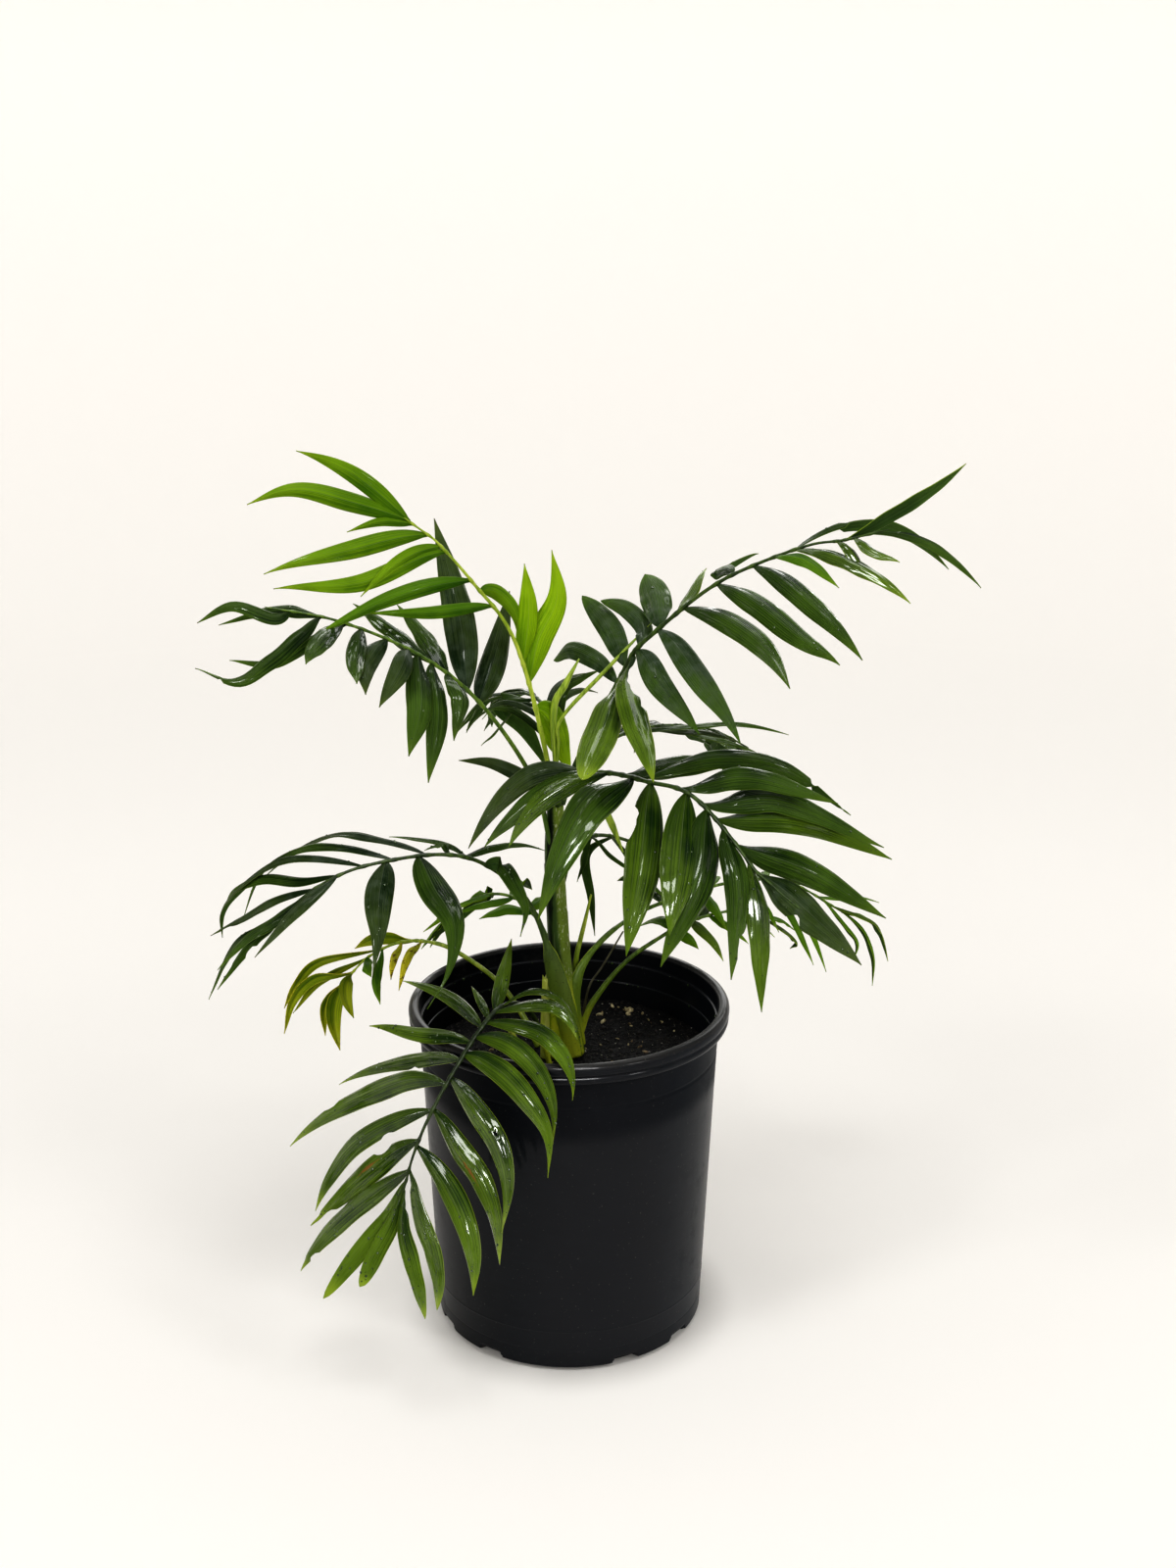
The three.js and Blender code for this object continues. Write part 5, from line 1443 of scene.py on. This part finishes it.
def make_stem():
    """The stem: a rod whose radius steps in at the slanting top of each leaf sheath, fluted a little.

    r(s, a) = r(s) + a sheath's depth wherever its slanting top lies above + small flutes.
    """
    rows, around, s = 260, 64, STEM
    line = read(even_curve(s["route"]), np.linspace(0, 1, rows))
    along, a, z = np.linspace(0, 1, rows)[:, None], circle(around), line[:, 2:]
    r = np.broadcast_to(knots(s["radii"], rows)[:, None], (rows, around)) - s["inset"]
    for k, top in enumerate(s["sheath_tops"]):
        edge = top + s["slant"] * np.cos(a - 2.1 * k) + 1.2 * np.sin(5 * a + k)
        r = r + s["sheath_depth"] * smooth(edge - z, 0, 1.1) * smooth(z, top - 75, top - 20)
    swelling = 0.5 * smooth(-z, -s["foot_top"], -s["foot"]) * (1 + np.sin(4 * a + 1))
    r = r + 0.12 * np.sin(9 * a + 3 * along) + swelling
    r[-3:] *= np.array([0.96, 0.86, 0.6])[:, None]
    points, faces = tube(line, r, around)
    piece("stem_sheathed", points, faces, [finish("stem_skin")], ["stem"], "stem")


def make_stubs():
    """Two cut stalks: flattened rods with a ragged top."""
    rows, around, torn = 60, 20, 12
    a = circle(around)
    for name, spec in STUBS.items():
        line = shown_curve(spec, rows)
        r = knots(spec["radii"], rows)[:, None] * (1 - 0.16 * np.cos(2 * a) + 0.05 * np.sin(5 * a))
        rings = tube_rings(line, r, around)
        ragged = 1.8 * np.sin(3 * a + 1) + 1.2 * np.sin(7 * a) - 2.4
        rings[-torn:, :, 2] += np.linspace(0, 1, torn)[:, None] * ragged
        points, faces = closed(rings, line[0], rings[-1].mean(axis=0) - [0, 0, 1.5])
        piece(name + "_stalk", points, faces, [finish("cut_stalk")], [name], "stem")


def make_stalks():
    """Bare stalks that stand between the sheaths: round rods that thin out upwards."""
    rows = 80
    for name, spec in STALKS.items():
        points, faces = tube(shown_curve(spec, rows), knots(spec["radii"], rows), 10)
        piece(name, points, faces, [finish(spec["finish"])], (), "stem")


def make_spear():
    """The unopened leaf: a slim rod with a fold along it."""
    rows, around, tip, s = 140, 16, 20, SPEAR
    a = circle(around)
    taper = np.r_[np.ones(rows - tip), np.linspace(1, 0.25, tip)]
    folded = 1 - s["fold"] * np.cos(2 * a) - s["crease"] * np.cos(a) ** 8
    points, faces = tube(shown_curve(s, rows), (knots(s["radii"], rows) * taper)[:, None] * folded, around)
    piece("spear_leaf", points, faces, [finish("spear_skin")], ["spear"], "spear")


def make_stage(settings):
    """Paper that sweeps up all round, lamps above, at the sides and behind, and the camera."""
    radius, bend = STUDIO["floor"], STUDIO["bend"]
    q = np.linspace(0, np.pi / 2, 24)
    r = np.r_[np.linspace(50, radius, 30), radius + bend * np.sin(q), radius + bend]
    z = np.r_[np.zeros(30), bend * (1 - np.cos(q)), STUDIO["top"]]
    rings = round_grid(r[:, None], z[:, None], circle(128))
    n, m = rings.shape[:2]
    points = np.vstack([rings.reshape(-1, 3), np.zeros(3)])
    faces = [ring_faces(n, m)[:, [0, 3, 2, 1]], fan(n * m, m)]
    sweep = meshed("studio_sweep", points, faces, [floor_finish(settings)])
    for name, spec in LAMPS.items():
        light = bpy.data.lights.new("lamp_" + name, "AREA")
        light.shape = "RECTANGLE"
        light.size, light.size_y = (side * MM for side in spec["size"])
        light.energy = getattr(settings, spec["power"]) * spec.get("share", 1)
        lamp = placed("lamp_" + name, light)
        lamp.location = [c * MM for c in spec["place"]]
        lamp.visible_diffuse = "glares" not in spec
        aim = np.array([0, 0, STUDIO["aim"]]) - spec["place"]
        lean, heading = math.atan2(math.hypot(aim[0], aim[1]), -aim[2]), math.atan2(aim[1], aim[0])
        lamp.rotation_euler = (lean, 0, heading - math.pi / 2)
    world = bpy.data.worlds.new("studio_air")
    world.use_nodes = True
    air = world.node_tree.nodes["Background"].inputs
    air["Color"].default_value = (1.0, 0.985, 0.96, 1.0)
    air["Strength"].default_value = settings.air
    scene = bpy.context.scene
    scene.world = world
    scene.view_settings.view_transform = "Standard"
    scene.view_settings.look = "High Contrast"
    camera = bpy.data.cameras.new("camera")
    camera.lens, camera.sensor_width = settings.lens, STUDIO["sensor"]
    scene.camera = placed("camera", camera)
    scene.camera.location = [c * MM for c in EYE["place"]]
    scene.camera.rotation_euler = (math.pi / 2 - settings.tilt, 0.0, -EYE["turn"])


# ------------------------------------------------------------------- settings
def setting(kind, name, description, default, **more):
    """A property of an operator's settings, from 0 upwards."""
    return kind(name=name, description=description, default=default, **{"min": 0, **more})


COLOUR = dict(size=3, max=1, subtype="COLOR")
SHARE = dict(max=1, subtype="FACTOR")
SMALL = dict(unit="LENGTH", precision=5)


class PalmPotSettings(bpy.types.PropertyGroup):
    colour: setting(
        FloatVectorProperty, "Colour", "Colour of the pot's plastic", (0.008, 0.0105, 0.0145), **COLOUR)
    dust: setting(FloatProperty, "Dust", "Pale scuffs on the rim", 0.6, **SHARE)
    gloss: setting(FloatProperty, "Roughness", "Roughness of the wall", 0.36, **SHARE)


class PalmSoilSettings(bpy.types.PropertyGroup):
    colour: setting(
        FloatVectorProperty, "Colour", "Colour of the damp mix", (0.0028, 0.0024, 0.0021), **COLOUR)
    relief: setting(FloatProperty, "Relief", "Height of the lumps", 0.0009, max=0.004, **SMALL)
    crumbs: setting(IntProperty, "Crumbs", "Dark crumbs on top", 900, max=3000)
    chips: setting(IntProperty, "Bark chips", "Brown chips on top", 60, max=400)
    perlite: setting(IntProperty, "Perlite", "White grains on top", 130, max=800)


class PalmFrondSettings(bpy.types.PropertyGroup):
    thickness: setting(
        FloatProperty, "Thickness", "Thickness of a leaflet", 0.00045, min=0.0001, max=0.002, **SMALL)
    ripple: setting(FloatProperty, "Ripple", "Height of the edge's ripple for the half width", 0.09, **SHARE)
    steps: setting(IntProperty, "Steps", "Steps along a leaflet", 34, min=12, max=80)


class PalmStageSettings(bpy.types.PropertyGroup):
    colour: setting(FloatVectorProperty, "Paper", "Colour of the studio paper", (0.7, 0.683, 0.657), **COLOUR)
    key_power: setting(FloatProperty, "Key lamp", "Power of the lamp above", 10, unit="POWER")
    fill_power: setting(FloatProperty, "Side lamps", "Power of the soft lamps at the sides", 9, unit="POWER")
    sheen_power: setting(FloatProperty, "Back lamp", "Power of the lamp for the sheen", 20, unit="POWER")
    glare_power: setting(FloatProperty, "Glare lamps", "Power of the lamps that only glare", 34, unit="POWER")
    air: setting(FloatProperty, "Air", "Light from all round", 0.21, max=5)
    floor_glow: setting(FloatProperty, "Floor glow", "Light of the paper near the pot", 0.39, max=2)
    backdrop_glow: setting(FloatProperty, "Backdrop glow", "Light of the paper further out", 0.48, max=2)
    lens: setting(FloatProperty, "Lens", "Focal length in millimetres", 45, min=20, max=120)
    tilt: setting(FloatProperty, "Tilt", "How far the eye looks down", EYE["tilt"], max=1.5, subtype="ANGLE")


# ------------------------------------------------------------------ operators
class PALM_OT_pot(bpy.types.Operator):
    """Make the nursery pot"""
    bl_idname = "palm.pot"
    bl_label = "Pot"

    def execute(self, context):
        make_pot(context.scene.palm_pot)
        return {"FINISHED"}


class PALM_OT_soil(bpy.types.Operator):
    """Make the potting mix with its crumbs, chips and perlite"""
    bl_idname = "palm.soil"
    bl_label = "Potting mix"

    def execute(self, context):
        settings = context.scene.palm_soil
        make_grit(settings, make_soil(settings))
        return {"FINISHED"}


class PALM_OT_stem(bpy.types.Operator):
    """Make the sheathed stem, the two cut stalks, the bare stalks and the unopened leaf"""
    bl_idname = "palm.stem"
    bl_label = "Stem"

    def execute(self, context):
        make_stem()
        make_stubs()
        make_stalks()
        make_spear()
        return {"FINISHED"}


class PALM_OT_fronds(bpy.types.Operator):
    """Make all the fronds, leaflets and ribs, and the drops of water on them"""
    bl_idname = "palm.fronds"
    bl_label = "Fronds"

    def execute(self, context):
        shape, faces = drop_shape()
        wet = []
        for k, (name, spec) in enumerate(FRONDS.items()):
            grid, normal, count, rng = make_frond(name, spec, context.scene.palm_fronds, 40 + k)
            if count:
                wet.append(scattered(shape, faces, *drops_on(grid, normal, count, rng)))
        wet.append(scattered(shape, faces, *drops_inside(DROPS["ledge_count"])))
        points, faces = joined(wet)
        piece("water_drops", points, faces, [finish("water")], (), "leaf_deep")
        return {"FINISHED"}


class PALM_OT_stage(bpy.types.Operator):
    """Make the studio paper, the lamps and the camera"""
    bl_idname = "palm.stage"
    bl_label = "Studio"

    def execute(self, context):
        make_stage(context.scene.palm_stage)
        return {"FINISHED"}


class PALM_PT_panel(bpy.types.Panel):
    """The palm's pieces and their settings"""
    bl_idname = "PALM_PT_panel"
    bl_label = "Parlour Palm"
    bl_space_type = "VIEW_3D"
    bl_region_type = "UI"
    bl_category = "Palm"

    def draw(self, context):
        for operator, group in PANEL_ROWS:
            self.layout.operator(operator)
            settings = getattr(context.scene, group, None)
            for key in type(settings).__annotations__ if settings else ():
                self.layout.prop(settings, key)


PANEL_ROWS = (
    ("palm.pot", "palm_pot"), ("palm.soil", "palm_soil"), ("palm.stem", ""),
    ("palm.fronds", "palm_fronds"), ("palm.stage", "palm_stage"),
)
SETTINGS = {
    "palm_pot": PalmPotSettings, "palm_soil": PalmSoilSettings,
    "palm_fronds": PalmFrondSettings, "palm_stage": PalmStageSettings,
}
CLASSES = (
    *SETTINGS.values(), PALM_OT_pot, PALM_OT_soil, PALM_OT_stem, PALM_OT_fronds, PALM_OT_stage,
    PALM_PT_panel,
)


def register():
    for cls in CLASSES:
        bpy.utils.register_class(cls)
    for name, group in SETTINGS.items():
        setattr(bpy.types.Scene, name, PointerProperty(type=group))


def unregister():
    for name in SETTINGS:
        delattr(bpy.types.Scene, name)
    for cls in reversed(CLASSES):
        bpy.utils.unregister_class(cls)


def main():
    """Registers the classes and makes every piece."""
    register()
    bpy.ops.palm.stage()
    bpy.ops.palm.pot()
    bpy.ops.palm.soil()
    bpy.ops.palm.stem()
    bpy.ops.palm.fronds()


if __name__ == "__main__":
    main()
